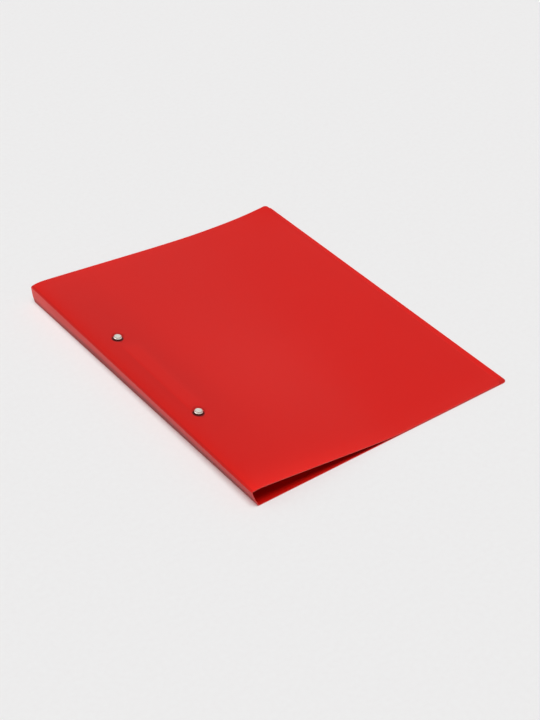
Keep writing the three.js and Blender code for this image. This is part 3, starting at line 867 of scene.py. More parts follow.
class ClipSeat:
    """Where the clamp sits: x to the fore edge, z into the folder, origin on the cover's inner face."""

    def __init__(self, sheet: SheetForm, form: ClampForm) -> None:
        """Work out the clamp's axes on the closed sheet.

        Args:
            sheet: The sheet that carries it.
            form: The clamp's sizes.
        """
        self.form = form
        self.middle = sheet.length / 2 + form.rivet_offset

        def place(y: float, reach: float = 0.0) -> np.ndarray:
            """Return the cover's middle at the rivet line, or a reach in front of it."""
            x = sheet.top_crease_x(y) + form.rivet_setback + reach
            return np.array([x, y, float(sheet.cover_height(np.array(x), y))])

        near, far = (place(self.middle + side * form.rivet_pitch / 2) for side in (-1, 1))
        centre = (near + far) / 2
        along = centre[0] - sheet.top_crease_x(self.middle) - form.rivet_setback
        rise = place(self.middle, form.plate_reach + along)[2] - place(self.middle, along)[2]
        x_axis = unit(np.array([form.plate_reach, 0.0, rise]))
        y_axis = unit(near - far)
        z_axis = unit(np.cross(x_axis, y_axis))
        self.axes = np.array([np.cross(y_axis, z_axis), y_axis, z_axis])
        self.origin = centre + z_axis * sheet.thickness / 2
        self.pin = np.array([-form.pin_setback, 0.0, form.pin_height])
        self.rivets = [tuple(near[:2]), tuple(far[:2])]

    def place(self, points: np.ndarray) -> np.ndarray:
        """Return points of the clip's axes as points of the layout."""
        return self.origin + np.asarray(points, float) @ self.axes

    def place_from_pin(self, points: np.ndarray) -> np.ndarray:
        """Return points measured from the pin as points of the layout."""
        return self.place(np.asarray(points, float) + self.pin)


@dataclass(frozen=True)
class Relief:
    """What the clamp does to the clip cover: a rib presses out a strip, and the rivets pull in dimples."""

    form: SheetForm
    seat: ClipSeat
    strip_across: Pair = (16.5, 29.0)  # from the top crease
    strip_along: Pair = (103.0, 196.0)
    strip_flanks: Pair = (3.0, 12.0)  # across and along
    strip_height: float = 0.22
    dimple_depth: float = 0.34
    dimple_radii: Pair = (4.4, 5.5)

    def strip(self, points: np.ndarray) -> np.ndarray:
        """Return 1 on the strip that is pressed out, and 0 away from it."""
        across = points[..., 0] - self.form.top_crease_x(points[..., 1])
        shares = bump_between(across, self.strip_across, self.strip_flanks[0])
        return shares * bump_between(points[..., 1], self.strip_along, self.strip_flanks[1])

    def round_rivets(self, points: np.ndarray, radii: Pair) -> np.ndarray:
        """Return 1 close to a rivet's axis, falling to 0 between two radii."""
        near = np.zeros(points.shape[:-1])
        for x, y in self.seat.rivets:
            distance = np.hypot(points[..., 0] - x, points[..., 1] - y)
            near = np.maximum(near, 1 - ramp(distance, radii[0], radii[1] - radii[0]))
        return near

    def lift(self, points: np.ndarray) -> np.ndarray:
        """Return how far the cover stands out at its middle points."""
        dimples = self.round_rivets(points, self.dimple_radii)
        return self.strip_height * self.strip(points) - self.dimple_depth * dimples


@dataclass(frozen=True)
class SheetPaint:
    """Where painted light shines through the sheet, and where a painted sheen and painted shade lie on it,
    as shares from 0 to 1 at points of its middle.

    A step is where a share starts to rise and how far that takes. Across the spine both are shares of its
    height. What changes along the folder is places from the near end, and the shares there.
    """

    form: SheetForm
    relief: Relief
    full_gap: float = 9.0  # height between the covers that lets all the light in
    near_reach: float = 14.0
    far_light: float = 0.25
    far_reach: float = 10.0
    strip_light: float = 0.34
    under_loss: float = 0.65
    under_step: Pair = (150.0, 60.0)
    spine_step: Pair = (0.25, 0.55)
    spine_far_light: float = 0.7
    spine_far_step: Pair = (180.0, 130.0)
    ring_shift: tuple = (0.9, 1.2, 0.0)  # that the dark ring lies nearer to the spine and the near end
    ring_radii: Pair = (4.4, 5.1)
    behind_shade: float = 0.38
    behind_radii: Pair = (4.0, 6.4)
    spine_side: float = 0.6  # x up to which the spine and its creases reach
    low_along: tuple = ((0, 20, 150, 310), (0.54, 0.69, 0.62, 0.53))
    low_start: Pair = (0.35, 0.22)  # at the near and the far end
    low_reach: Pair = (0.5, 0.65)
    pressed_shade: float = 0.25
    pressed_ends: Pair = (-0.3, 1.6)  # past the top crease
    pressed_fade: float = 0.8
    crown_shade: float = 0.1
    crown_rise: Pair = (1.0, 1.0)
    crown_fall: Pair = (25.0, 40.0)
    crown_along: tuple = ((0, 60, 130, 200, 260, 305), (0, 0.2, 1, 1, 0.75, 0.3))
    mouth_shade: float = 0.3
    mouth_step: Pair = (0.0, 8.0)
    # Painted sheen high on the spine, and a painted sheen patch on the cover.
    sheen_along: tuple = ((0, 60, 150, 270, 295, 310), (0.1, 0.28, 0.5, 0.5, 0.8, 0.95))
    sheen_start: float = 0.4
    sheen_start_step: Pair = (200.0, 80.0)  # over which it comes down to 0
    sheen_reach: float = 0.5
    sheen_end: Pair = (0.97, 0.06)
    sheen_margin: float = 0.5
    sheen_patch: float = 0.08
    sheen_patch_middle: Pair = (92.0, 115.0)
    sheen_patch_reach: Pair = (55.0, 85.0)
    sheen_patch_near_reach: float = 8.0
    crease_step: Pair = (-0.2, 0.8)

    def _up_the_spine(self, points: np.ndarray) -> np.ndarray:
        """Return heights as shares of the top crease's height."""
        return points[:, 2] / self.form.spine_height(points[:, 1])

    def _past_crease(self, points: np.ndarray) -> np.ndarray:
        """Return how far points lie past the top crease."""
        return points[:, 0] - self.form.top_crease_x(points[:, 1])

    def under_light(self, points: np.ndarray, inner: np.ndarray) -> np.ndarray:
        """Return how bright the bottom cover is inside: less where it shows past the clip cover."""
        return inner * (1 - self.under_loss * ramp(points[:, 0], *self.under_step))

    def spine_light(self, points: np.ndarray, inner: np.ndarray) -> np.ndarray:
        """Return how much more light the spine's upper part gets, most at its far end."""
        far = self.spine_far_light * ramp(points[:, 1], *self.spine_far_step)
        up = ramp(self._up_the_spine(points), *self.spine_step)
        return np.clip(up + far, 0, 1) * (1 - inner) + inner

    def cover_light(self, points: np.ndarray, inner: np.ndarray) -> np.ndarray:
        """Return how much light comes up through the clip cover, beside its open ends and on the strip."""
        gap = np.clip((points[:, 2] - self.form.landed) / self.full_gap, 0, 1)
        near = np.exp(-points[:, 1] / self.near_reach)
        far = self.far_light * np.exp(-(self.form.length - points[:, 1]) / self.far_reach)
        strip = self.strip_light * self.relief.strip(points)
        return np.clip(np.sqrt(gap) * (near + far) + strip, 0, 1) * (1 - inner) + inner

    def crease_light(self, points: np.ndarray, inner: np.ndarray) -> np.ndarray:
        """Return the light of the spine up to the top crease and of the clip cover past it."""
        spine, cover = self.spine_light(points, inner), self.cover_light(points, inner)
        return spine + (cover - spine) * ramp(self._past_crease(points), *self.crease_step)

    def shade(self, points: np.ndarray, inner: np.ndarray) -> np.ndarray:
        """Return how much painted shade darkens the sheet.

        Outside it is dark beside the rivets, low on the spine, in the top crease and on the crown past it,
        and inside just behind the near end.

        Args:
            points: Middle points.
            inner: 1 inside, 0 outside.

        Returns:
            The shares.
        """
        y, past, shift = points[:, 1], self._past_crease(points), np.array(self.ring_shift)
        ring = self.relief.round_rivets(points + shift, self.ring_radii)
        behind = self.behind_shade * self.relief.round_rivets(points - shift, self.behind_radii)
        pressed = self.pressed_shade * bump_between(past, self.pressed_ends, self.pressed_fade)
        crown = self.crown_shade * ramp(past, *self.crown_rise) * (1 - ramp(past, *self.crown_fall))
        crown = crown * np.interp(y, *self.crown_along)
        top = np.maximum.reduce([ring, behind, pressed, crown]) * (points[:, 2] > 2 * self.form.thickness)
        start, reach = (self.form.between(ends, y) for ends in (self.low_start, self.low_reach))
        low = np.interp(y, *self.low_along) * (1 - ramp(self._up_the_spine(points), start, reach))
        low = low * (points[:, 0] < self.spine_side)
        mouth = self.mouth_shade * (1 - ramp(y, *self.mouth_step))
        return np.maximum(top, low) * (1 - inner) + mouth * inner

    def painted_sheen(self, points: np.ndarray) -> np.ndarray:
        """Return the painted sheen: high on the spine, most at its far end, and in a patch on the cover and
        along its near end.

        Args:
            points: Middle points.

        Returns:
            The shares.
        """
        up, y = self._up_the_spine(points), points[:, 1]
        start = self.sheen_start * (1 - ramp(y, *self.sheen_start_step))
        rising = ramp(up, start, self.sheen_reach) * (1 - ramp(up, *self.sheen_end))
        on_spine = points[:, 0] < up * self.form.top_crease_x(y) + self.sheen_margin
        spine = np.interp(y, *self.sheen_along) * rising * on_spine
        away = np.sum(((points[:, :2] - self.sheen_patch_middle) / self.sheen_patch_reach) ** 2, axis=1)
        sheen_patch = self.sheen_patch * np.maximum(np.exp(-away), np.exp(-y / self.sheen_patch_near_reach))
        return np.maximum(spine, sheen_patch * (points[:, 2] > self.form.thickness))


@dataclass
class Folder:
    """The one red sheet, as three panels and the two creases between them."""

    form: SheetForm
    seat: ClipSeat
    finishes: Finishes
    crease_reach: float = 1.6  # from a crease's axis to the panels beside it
    edge: float = 0.14
    turn_reach: float = 0.8  # of a crease that bends, each way
    corner_steps: int = 8
    rows: int = 76
    rivet_rows: tuple = (6.0, 29, 6.5)  # closer rows beside a rivet: reach, count, clear
    rivet_columns: tuple = (6.3, 30, 6.9)
    edge_columns: tuple = (0, 0.15, 0.35, 0.6, 0.95, 1.4, 2, 2.8, 3.8, 5, 6.5, 8.5, 11, 14)
    column_step: float = 4.5
    spine_columns: int = 15
    crease_columns: int = 21

    def __post_init__(self) -> None:
        """Sample the sheet's middle line along the folder, and each row's step back at round corners."""
        self.relief = Relief(self.form, self.seat)
        self.paint = SheetPaint(self.form, self.relief)
        radius, length = self.form.corner_radius, self.form.length
        turns = [0.5 * math.pi * i / self.corner_steps for i in range(self.corner_steps)]
        near = [(radius * (1 - math.cos(turn)), radius * (1 - math.sin(turn))) for turn in turns]
        even = np.linspace(radius, length - radius, self.rows)
        middle = [(y, 0.0) for y in finer_near(even, [y for _, y in self.seat.rivets], *self.rivet_rows)]
        far = [(length - y, back) for y, back in reversed(near)]
        self.stations = near + middle + far
        self.lines = [self.form.line(y) for y, _ in self.stations]

    def _grid(self, columns: np.ndarray, fixed: float | None) -> tuple[np.ndarray, np.ndarray, np.ndarray]:
        """Sample the sheet's surface.

        Args:
            columns: Distances along the sheet.
            fixed: The end of them that stays in place at the round corners, or None without such corners.

        Returns:
            Middle points, outer normals and half thicknesses, rows by columns.
        """
        width = columns[-1] - columns[0]
        points, normals, halves = [], [], []
        for (y, back), (along, line) in zip(self.stations, self.lines):
            wanted = columns
            if fixed is not None:
                wanted = fixed + (columns - fixed) * (width - back) / width
            tangent = np.gradient(line, along, axis=0)
            x, z = (np.interp(wanted, along, line[:, i]) for i in range(2))
            tx, tz = (np.interp(wanted, along, tangent[:, i]) for i in range(2))
            points.append(np.stack([x, np.full_like(x, y), z], -1))
            normals.append(unit(np.stack([-tz, np.zeros_like(tz), tx], -1)))
            halves.append(self.form.half_thickness(wanted))
        return np.array(points), np.array(normals), np.array(halves)

    def _panel(
        self,
        name: str,
        columns: np.ndarray,
        square: set[Side],
        light: Callable[[np.ndarray, np.ndarray], np.ndarray],
        fixed: float | None = None,
        pressed: bool = False,
    ) -> bpy.types.Object:
        """Build one part of the sheet.

        Args:
            name: The piece's name.
            columns: Distances along the sheet.
            square: Sides that meet another piece.
            light: Gives how much painted light shines through, from points and their layer, 1 inside, 0
                outside.
            fixed: The end of the columns that stays in place at the round corners.
            pressed: Whether the clamp presses its relief into it.

        Returns:
            The piece.
        """
        middle, normals, half = self._grid(columns, fixed)
        if pressed:
            middle = middle + self.relief.lift(middle)[..., None] * normals
        points, faces, source, cut = SheetSolid(middle, normals, half, self.edge, square).build()
        centres = middle.reshape(-1, 3)[source]
        heights = np.einsum("ij,ij->i", points - centres, normals.reshape(-1, 3)[source])
        inner = (heights < 0).astype(float)
        # Painted light and shade kept on the vertices: the pale cut edge with the painted sheen, painted
        # light through the sheet, and painted shade.
        values = {
            "cut_edge_and_sheen": np.maximum(cut, self.paint.painted_sheen(centres) * (1 - inner)),
            "lit_through": light(centres, inner),
            "painted_shade": self.paint.shade(centres, inner),
        }
        return piece(name, points, faces, self.finishes.sheet, values)

    def _columns(self, low: float, high: float) -> np.ndarray:
        """Return distances from low to high, closer together near both ends."""
        fine = np.array(self.edge_columns)
        head, tail = low + fine, (high - fine)[::-1]
        count = int(round((tail[0] - head[-1]) / self.column_step)) + 1
        return np.concatenate([head[:-1], np.linspace(head[-1], tail[0], count), tail[1:]])

    def bottom_cover(self) -> bpy.types.Object:
        """Build the cover that lies on the table."""
        columns = self._columns(-self.form.width, -self.crease_reach)
        made = self._panel("bottom_cover_sheet", columns, {Side.END}, self.paint.under_light, columns[-1])
        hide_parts("bottom_cover")
        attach(made, "bottom_cover")
        return made

    def spine(self) -> bpy.types.Object:
        """Build the spine between the two creases."""
        low, high = self.crease_reach, self.form.spine_width - self.crease_reach
        columns = np.linspace(low, high, self.spine_columns)
        made = self._panel("spine_sheet", columns, {Side.START, Side.END}, self.paint.spine_light)
        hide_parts("spine_panel")
        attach(made, "spine")
        return made

    def clip_cover(self) -> bpy.types.Object:
        """Build the cover that carries the clamp."""
        spine = self.form.spine_width
        columns = self._columns(spine + self.crease_reach, spine + self.form.width)
        columns = finer_near(columns, [spine + self.seat.form.rivet_setback], *self.rivet_columns)
        made = self._panel(
            "clip_cover_sheet", columns, {Side.START}, self.paint.cover_light, columns[0], pressed=True
        )
        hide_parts("clip_cover")
        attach(made, "clip_cover")
        return made

    def _crease(self, name: str, node: str, axis_at: float, fold: str) -> bpy.types.Object:
        """Build the strip at a crease.

        Args:
            name: The piece's name.
            node: The web that it stands for.
            axis_at: Distance along the sheet of the crease.
            fold: The joint at the crease; it is looked up, but nothing bends the strip by it.

        Returns:
            The piece.
        """
        columns = axis_at + np.linspace(-self.crease_reach, self.crease_reach, self.crease_columns)
        light = self.paint.crease_light if axis_at > 0 else self.paint.spine_light
        made = self._panel(name, columns, {Side.START, Side.END}, light)
        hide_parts(node)
        bend = joint(fold)
        pivot, axis = np.array(bend["pos_m"], float), unit(np.array(bend["axis"], float))
        along, line = self.lines[len(self.lines) // 2]
        (x0, x1), (z0, z1) = (np.interp(columns[[0, -1]], along, line[:, i]) for i in range(2))
        way = np.array([x1 - x0, 0.0, z1 - z0])
        way = unit(way - (way @ axis) * axis) * self.turn_reach * MM
        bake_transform(made)
        return made

    def build(self) -> None:
        """Build every part of the sheet."""
        made = [
            self.bottom_cover(),
            self.spine(),
            self.clip_cover(),
            self._crease("bottom_crease_strip", "bottom_crease_web", 0.0, "spine_fold"),
            self._crease("top_crease_strip", "top_crease_web", self.form.spine_width, "cover_fold"),
        ]


@dataclass(frozen=True)
class RivetForm:
    """A rivet: radii, and heights into the folder from the clip cover's inner face."""

    cap: tuple = ((0, -1.78), (1.4, -1.779), (2.1, -1.776), (2.5, -1.772), (2.75, -1.768), (2.92, -1.76))
    rim: tuple = ((3.12, -1.5), (3.32, -1.23), (3.46, -1.02), (3.5, -0.9))
    wall: tuple = ((3.5, -0.55), (3.44, -0.46), (3.1, -0.44), (2.6, -0.44), (2.3, -0.2))
    shank: float = 1.9
    shank_start: float = -0.1
    tail: float = 2.9
    tail_edge: float = 0.15
    tail_height: float = 1.0
    tail_lift: float = 0.06  # over the plate
    tail_back: float = 0.02
    bore: float = 1.1
    bore_end: Pair = (-0.5, -0.55)  # at its wall and in its middle
    sides: int = 56
    sharp_degrees: float = 40.0
    shaded_side: Pair = (-0.6, 0.8)  # towards the spine and the near end
    shoulder: Pair = (2.2, 3.2)
    shoulder_fade: float = 0.25
    shoulder_depth: float = -1.4
    shoulder_shade: float = 0.55
    in_dimple: Pair = (-0.95, 0.0)
    dimple_red_reflection: float = 0.95

    def profile(self, plate_top: float) -> list[Pair]:
        """Follow the rivet from the cap's middle round the shank and the rolled tail to the bore's middle.

        Args:
            plate_top: Height of the plate that the tail is rolled over on.

        Returns:
            Radii and heights.
        """
        foot = plate_top + self.tail_lift
        wide = self.tail - self.bore
        roll = [
            (self.bore + wide * (1 + math.cos(turn)) / 2, foot + self.tail_height * math.sin(turn))
            for turn in np.linspace(0, math.pi, 13)
        ]
        back = foot - self.tail_back
        shank = [(self.shank, self.shank_start), (self.shank, back), (self.tail - self.tail_edge, back)]
        end = [(self.bore, self.bore_end[0]), (0, self.bore_end[1])]
        return [*self.cap, *self.rim, *self.wall, *shank, *roll, *end]

    def red_reflection_and_shade(self, points: np.ndarray) -> np.ndarray:
        """Return where the rivet gets painted shade and a painted reflection of the red sheet: painted shade
        on one side of the rim, and a painted dark red reflection in the dimple.

        Args:
            points: Points in the rivet's own axes.

        Returns:
            The shares.
        """
        radii, heights = np.hypot(points[:, 0], points[:, 1]), points[:, 2]
        facing = points[:, :2] @ np.array(self.shaded_side)
        shoulder = bump_between(radii, self.shoulder, self.shoulder_fade) * (heights < self.shoulder_depth)
        shoulder = shoulder * smooth(0.5 + facing / (2 * np.maximum(radii, 1)))
        hidden = (heights > self.in_dimple[0]) & (heights < self.in_dimple[1])
        return np.maximum(self.shoulder_shade * shoulder, self.dimple_red_reflection * hidden)


@dataclass
class Clamp:
    """The sprung clamp under the clip cover."""

    seat: ClipSeat
    finishes: Finishes
    rivets: RivetForm = RivetForm()
    pin_sides: int = 40
    wire_sides: int = 12
    steps_a_turn: int = 22
    leg_steps: int = 8
    bend_steps: int = 6
    crown_steps: int = 5
    edge_stations: int = 3
    front_stations: int = 26
    jaw_columns: int = 61
    rib_columns: tuple = (2.2, 11, 2.6)  # closer columns beside a rib: reach, count, clear
    flange_columns: int = 8
    flange_steps: int = 64
    grip_rows: int = 31

    def __post_init__(self) -> None:
        """Keep the clamp's sizes at hand."""
        self.form = self.seat.form

    def rivet(self, end: str, side: int) -> bpy.types.Object:
        """Build a rivet: a flat cap with a sloping rim, a shank, and a tail rolled over on the plate.

        Args:
            end: The end of the folder that it is at.
            side: 1 near, -1 far.

        Returns:
            The piece.
        """
        rivet = self.rivets
        points, faces = turned(rivet.profile(self.form.plate_top), rivet.sides)
        # Painted shade on the rivet's shoulder, and a painted red reflection low on it, in the dimple.
        red_reflection_and_shade = {"red_reflection_and_shade": rivet.red_reflection_and_shade(points)}
        place = self.seat.place(points + np.array([0, side * self.form.rivet_pitch / 2, 0]))
        made = piece(f"rivet_{end}_set", place, faces, self.finishes.nickel, red_reflection_and_shade, rivet.sharp_degrees)
        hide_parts(f"rivet_{end}")
        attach(made, "clip_cover")
        return made

    def pin(self) -> bpy.types.Object:
        """Build the hinge pin with its two domed heads."""
        form = self.form
        half = form.jaw_length / 2 + form.cheek_clearance / 2
        radius, head, soft = form.pin_radius, form.pin_head_radius, form.pin_soft
        end = [(radius - soft, half - form.pin_seat - soft), (radius, half - form.pin_seat), (radius, half)]
        end += [(head - soft, half), (head, half + soft)]
        dome = form.pin_head_height - soft
        end += [(head * math.cos(a), half + soft + dome * math.sin(a)) for a in np.linspace(*form.pin_dome)]
        end += [(0, half + form.pin_head_height)]
        points, faces = turned([(r, -z) for r, z in reversed(end)] + end, self.pin_sides)
        points = np.stack([points[:, 1], points[:, 2], points[:, 0]], -1)
        made = piece("hinge_pin_domed", self.seat.place_from_pin(points), faces, self.finishes.wire)
        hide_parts("hinge_pin")
        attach(made, "clip_cover")
        return made

    def _wire_path(self) -> np.ndarray:
        """Follow a spring's wire from its leg on the plate, round the pin, to its leg under the lip."""
        form = self.form
        radius, reach = form.coil_radius, form.leg_length
        tip = form.lip_height(-reach) - form.jaw_thickness / 2 - 2 * form.seat_gap - form.wire_radius
        leaves = math.pi - math.atan2(tip, reach) - math.acos(radius / math.hypot(reach, tip))
        turns = 2 * math.pi * form.coil_turns - (math.pi / 2 - leaves)
        path = [(-x, 0.0, -radius) for x in np.linspace(reach, form.leg_end, self.leg_steps)]
        for turn in np.linspace(0, turns, int(form.coil_turns * self.steps_a_turn)):
            y = form.coil_pitch * turn / (2 * math.pi)
            path.append((radius * math.sin(turn), y, -radius * math.cos(turn)))
        last = np.array(path[-1])
        end = np.array([-reach, form.coil_pitch * form.coil_turns, tip])
        path += [tuple(last + (end - last) * share) for share in np.linspace(0.05, 1, self.leg_steps)]
        return np.array(path)

    def spring(self, end: str, side: int) -> bpy.types.Object:
        """Build a torsion spring wound round the pin.

        Args:
            end: The end of the folder that it is at.
            side: 1 near, -1 far.

        Returns:
            The piece.
        """
        form = self.form
        path = self._wire_path()
        tips = unit(path[[0, -1]] - path[[1, -2]]) * form.wire_tip_length
        path = np.concatenate([path[:1] + tips[:1], path, path[-1:] + tips[1:]])
        along = unit(np.gradient(path, axis=0))
        across = unit(np.cross(along, np.array([0.0, 1.0, 0.0])))
        upwards = np.cross(across, along)
        thick = np.full(len(path), form.wire_radius)
        thick[[0, -1]] *= form.wire_tip
        turns = np.linspace(0, 2 * math.pi, self.wire_sides, endpoint=False)[:, None]
        loops = [
            centre + radius * (np.cos(turns) * right + np.sin(turns) * up)
            for centre, right, up, radius in zip(path, across, upwards, thick)
        ]
        points, faces = skinned(loops, side > 0)
        points[:, 1] = side * (form.coil_start + points[:, 1])
        place = self.seat.place_from_pin(points)
        made = piece(f"torsion_spring_{end}_wire", place, faces, self.finishes.wire)
        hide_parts(f"torsion_spring_{end}")
        ends = [np.array([0.0, side * form.coil_start, z]) for z in (-form.coil_radius, form.coil_radius)]
        start, stop = (tuple(LAYOUT.metres(self.seat.place_from_pin(point))) for point in ends)
        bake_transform(made)
        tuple(start)
        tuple(stop)
        return made

    def _jaw_line(self) -> list[Pair]:
        """Follow the jaw's middle line from the paper's edge over the pin to the curled lip."""
        form = self.form
        reach, bend, lip_end = form.jaw_reach, form.jaw_bend, -form.lip_reach
        edge = form.grip_foot + form.grip_wall + form.grip_clearance
        shoulder = form.front_height(reach)
        line = [(reach, z) for z in np.linspace(edge, shoulder - bend, self.edge_stations)]
        front = reach - bend
        line += bezier(line[-1], (reach, shoulder), (front, form.front_height(front)), self.bend_steps)
        line += [(x, form.front_height(x)) for x in np.linspace(front, bend, self.front_stations)[1:]]
        line += bezier(line[-1], (0, form.crown_height), (-bend, form.lip_height(-bend)), self.crown_steps)
        line += [(-back, form.lip_height(-back)) for back in form.lip_stations]
        lip = form.lip_height(lip_end)
        curled = (lip_end - form.lip_curl_reach, lip - form.lip_curl)
        line += bezier(line[-1], (lip_end, lip), curled, self.bend_steps)
        return line

    def _jaw_half_width(self, x: float, before_lip: bool, edge: float) -> float:
        """Return half the jaw's width: full to the lip's root, then the lip's, with round corners.

        Args:
            x: Place across.
            before_lip: Whether the place is on the jaw's front half.
            edge: Distance along the line from the nearer end.

        Returns:
            Half the width.
        """
        form = self.form
        if x > -form.lip_root or before_lip:
            radius, half = form.fold, form.jaw_length / 2
        else:
            radius = form.jaw_corner
            inner = min(1.0, (-form.lip_root - x) / radius)
            half = form.lip_length / 2 + radius * (1 - math.sqrt(1 - (1 - inner) ** 2))
        back = max(0.0, radius - edge)
        return half - radius + math.sqrt(max(0.0, radius**2 - back**2))

    def _cheek_foot(self, x: float) -> float:
        """Return the height of a cheek's lower edge, which is round below the pin.

        Args:
            x: Place across.

        Returns:
            The height from the pin.
        """
        form = self.form
        radius, front = form.cheek_radius, form.jaw_reach - form.jaw_bend
        if x >= front:
            return form.front_height(x)
        if x > front - form.jaw_corner:
            share = 1 - math.sqrt(1 - (x - front + form.jaw_corner) / form.jaw_corner)
            return -radius + share**2 * (radius + form.front_height(front))
        if x >= 0:
            return -radius
        if x > -radius:
            return -math.sqrt(radius**2 - x**2)
        if x > -form.lip_root:
            return (-radius - x) / (form.lip_root - radius) * form.lip_height(-form.lip_root)
        return form.lip_height(x)

    def _rib_lift(self, x: float, y: float) -> float:
        """Return how far the jaw's pressed ribs lift its plate."""
        beyond = max(0.0, abs(x - self.form.jaw_reach / 2) - self.form.rib_straight)
        distance = math.hypot(beyond, min(abs(y - rib) for rib in self.form.ribs))
        return self.form.rib_height * (1 - float(ramp(distance, *self.form.rib_flank)))

    def _flange(self, height: float) -> list[Pair]:
        """Follow the jaw's edge out from its flat part and, where there is a cheek, round the fold and down.

        Args:
            height: How far the cheek reaches down.

        Returns:
            How far out and how far down its points lie.
        """
        fold = self.form.fold
        turn = float(ramp(height, *self.form.cheek_turn))
        length = max(self.form.flange, fold * math.pi / 2 + height - fold)
        steps = np.linspace(0, length, self.flange_steps + 1)
        angles = turn * np.minimum(steps[:-1] / fold, math.pi / 2)
        strides = length / self.flange_steps * np.array([np.cos(angles), np.sin(angles)])
        gone = np.concatenate([np.zeros((2, 1)), np.cumsum(strides, axis=1)], axis=1)
        wanted = np.linspace(0, 1, self.flange_columns + 1)[1:] * length
        return list(zip(np.interp(wanted, steps, gone[0]), np.interp(wanted, steps, gone[1])))

    def jaw(self) -> bpy.types.Object:
        """Build the jaw: one bent plate with ribs, a thumb lip, and a cheek folded down at each end."""
        form = self.form
        line = np.array(self._jaw_line())
        gone = np.concatenate([[0], np.cumsum(np.linalg.norm(np.diff(line, axis=0), axis=1))])
        wide = form.jaw_length / 2 - form.flange
        even = np.round(np.linspace(-wide, wide, self.jaw_columns), 3)
        shares = np.round(finer_near(even, form.ribs, *self.rib_columns), 3) / wide
        rows = []
        for place, ((x, z), at) in enumerate(zip(line, gone)):
            before_lip = place < len(line) / 2
            inner = self._jaw_half_width(x, before_lip, min(at, gone[-1] - at)) - form.flange
            has_cheek = place >= self.edge_stations + self.bend_steps and x > -form.lip_root
            flange = self._flange(max(0.0, z - self._cheek_foot(x)) if has_cheek else 0.0)
            row = [(x, -inner - out, z - down) for out, down in reversed(flange)]
            row += [(x, share * inner, z + self._rib_lift(x, share * inner)) for share in shares]
            row += [(x, inner + out, z - down) for out, down in flange]
            rows.append(row)
        middle = np.array(rows)
        normals = unit(np.cross(np.gradient(middle, axis=1), np.gradient(middle, axis=0)))
        half = np.full(middle.shape[:2], form.jaw_thickness / 2)
        points, faces, _, _ = SheetSolid(middle, normals, half, form.jaw_edge, set()).build()
        made = piece("clamp_jaw_pressed", self.seat.place_from_pin(points), faces, self.finishes.nickel)
        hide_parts("clamp_jaw")
        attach(made, "jaw")
        return made

    def _grip_outline(self) -> list[Pair]:
        """Draw the grip strip's section: a channel with three ridges along its sole."""
        form = self.form
        slot = form.jaw_thickness / 2 + form.grip_clearance / 2
        outer = form.jaw_thickness / 2 + form.grip_clearance + form.grip_wall
        foot, middle, ridge = form.grip_foot, form.jaw_reach, form.ridge_height
        floor = foot + form.grip_wall
        top = floor + form.grip_depth
        sole_edge, top_edge, slot_edge = form.grip_edges
        sole = [
            (middle + x, foot + ridge * (0.5 - 0.5 * math.cos(2 * math.pi * x / form.ridge_pitch)))
            for x in np.linspace(-1.5 * form.ridge_pitch, 1.5 * form.ridge_pitch, 25)
        ]
        right = arc((middle + outer - sole_edge, foot + sole_edge), sole_edge, -70, 0, 4)
        right += arc((middle + outer - top_edge, top - top_edge), top_edge, 0, 90, 4)
        right += arc((middle + slot + slot_edge, top - slot_edge), slot_edge, 90, 180, 3)
        right += [(middle + slot, floor + slot_edge)]
        return sole + right + [(2 * middle - x, z) for x, z in reversed(right)]

    def grip(self) -> bpy.types.Object:
        """Build the soft strip pushed on the jaw's edge."""
        form = self.form
        outline = np.array(self._grip_outline())
        half = form.jaw_length / 2 - form.grip_inset
        centre = np.array([form.jaw_reach, form.grip_foot + form.grip_middle])
        end = [(half - back, scale) for back, scale in form.grip_ends]
        straight = half - form.grip_end_length
        even = [(y, 1.0) for y in np.linspace(-straight, straight, self.grip_rows)]
        loops = []
        for y, scale in [(-y, scale) for y, scale in reversed(end)] + even + end:
            x, z = (centre + scale * (outline - centre)).T
            loops.append(np.stack([x, np.full_like(x, y), z], -1))
        points, faces = skinned(loops, True)
        made = piece("jaw_grip_moulded", self.seat.place_from_pin(points), faces, self.finishes.grip)
        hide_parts("jaw_grip_strip")
        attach(made, "jaw")
        return made

    def plate(self) -> bpy.types.Object:
        """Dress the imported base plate: nickel, with its pressed edges rounded off."""
        node = frame["nodes"]["clip_base_plate"]
        for slot in node.material_slots:
            slot.material = self.finishes.nickel
        planar = node.modifiers.new("merge_flat_faces", "DECIMATE")
        planar.decimate_type = "DISSOLVE"
        planar.angle_limit = math.radians(self.form.plate_flat_degrees)
        bevel = node.modifiers.new("rounded_edges", "BEVEL")
        bevel.width = self.form.plate_edge * MM
        bevel.segments = 2
        bevel.limit_method = "ANGLE"
        bevel.angle_limit = math.radians(self.form.plate_sharp_degrees)
        bevel.use_clamp_overlap = True
        return node

    def build(self) -> None:
        """Build every piece of the clamp."""
        self.plate()
        self.pin()
        for end, side in (("near", 1), ("far", -1)):
            self.rivet(end, side)
            self.spring(end, side)
        self.jaw()
        self.grip()


@dataclass(frozen=True)
class Lamp:
    """A wide soft light, far away."""

    name: str
    strength: float
    spread: float
    towards: tuple


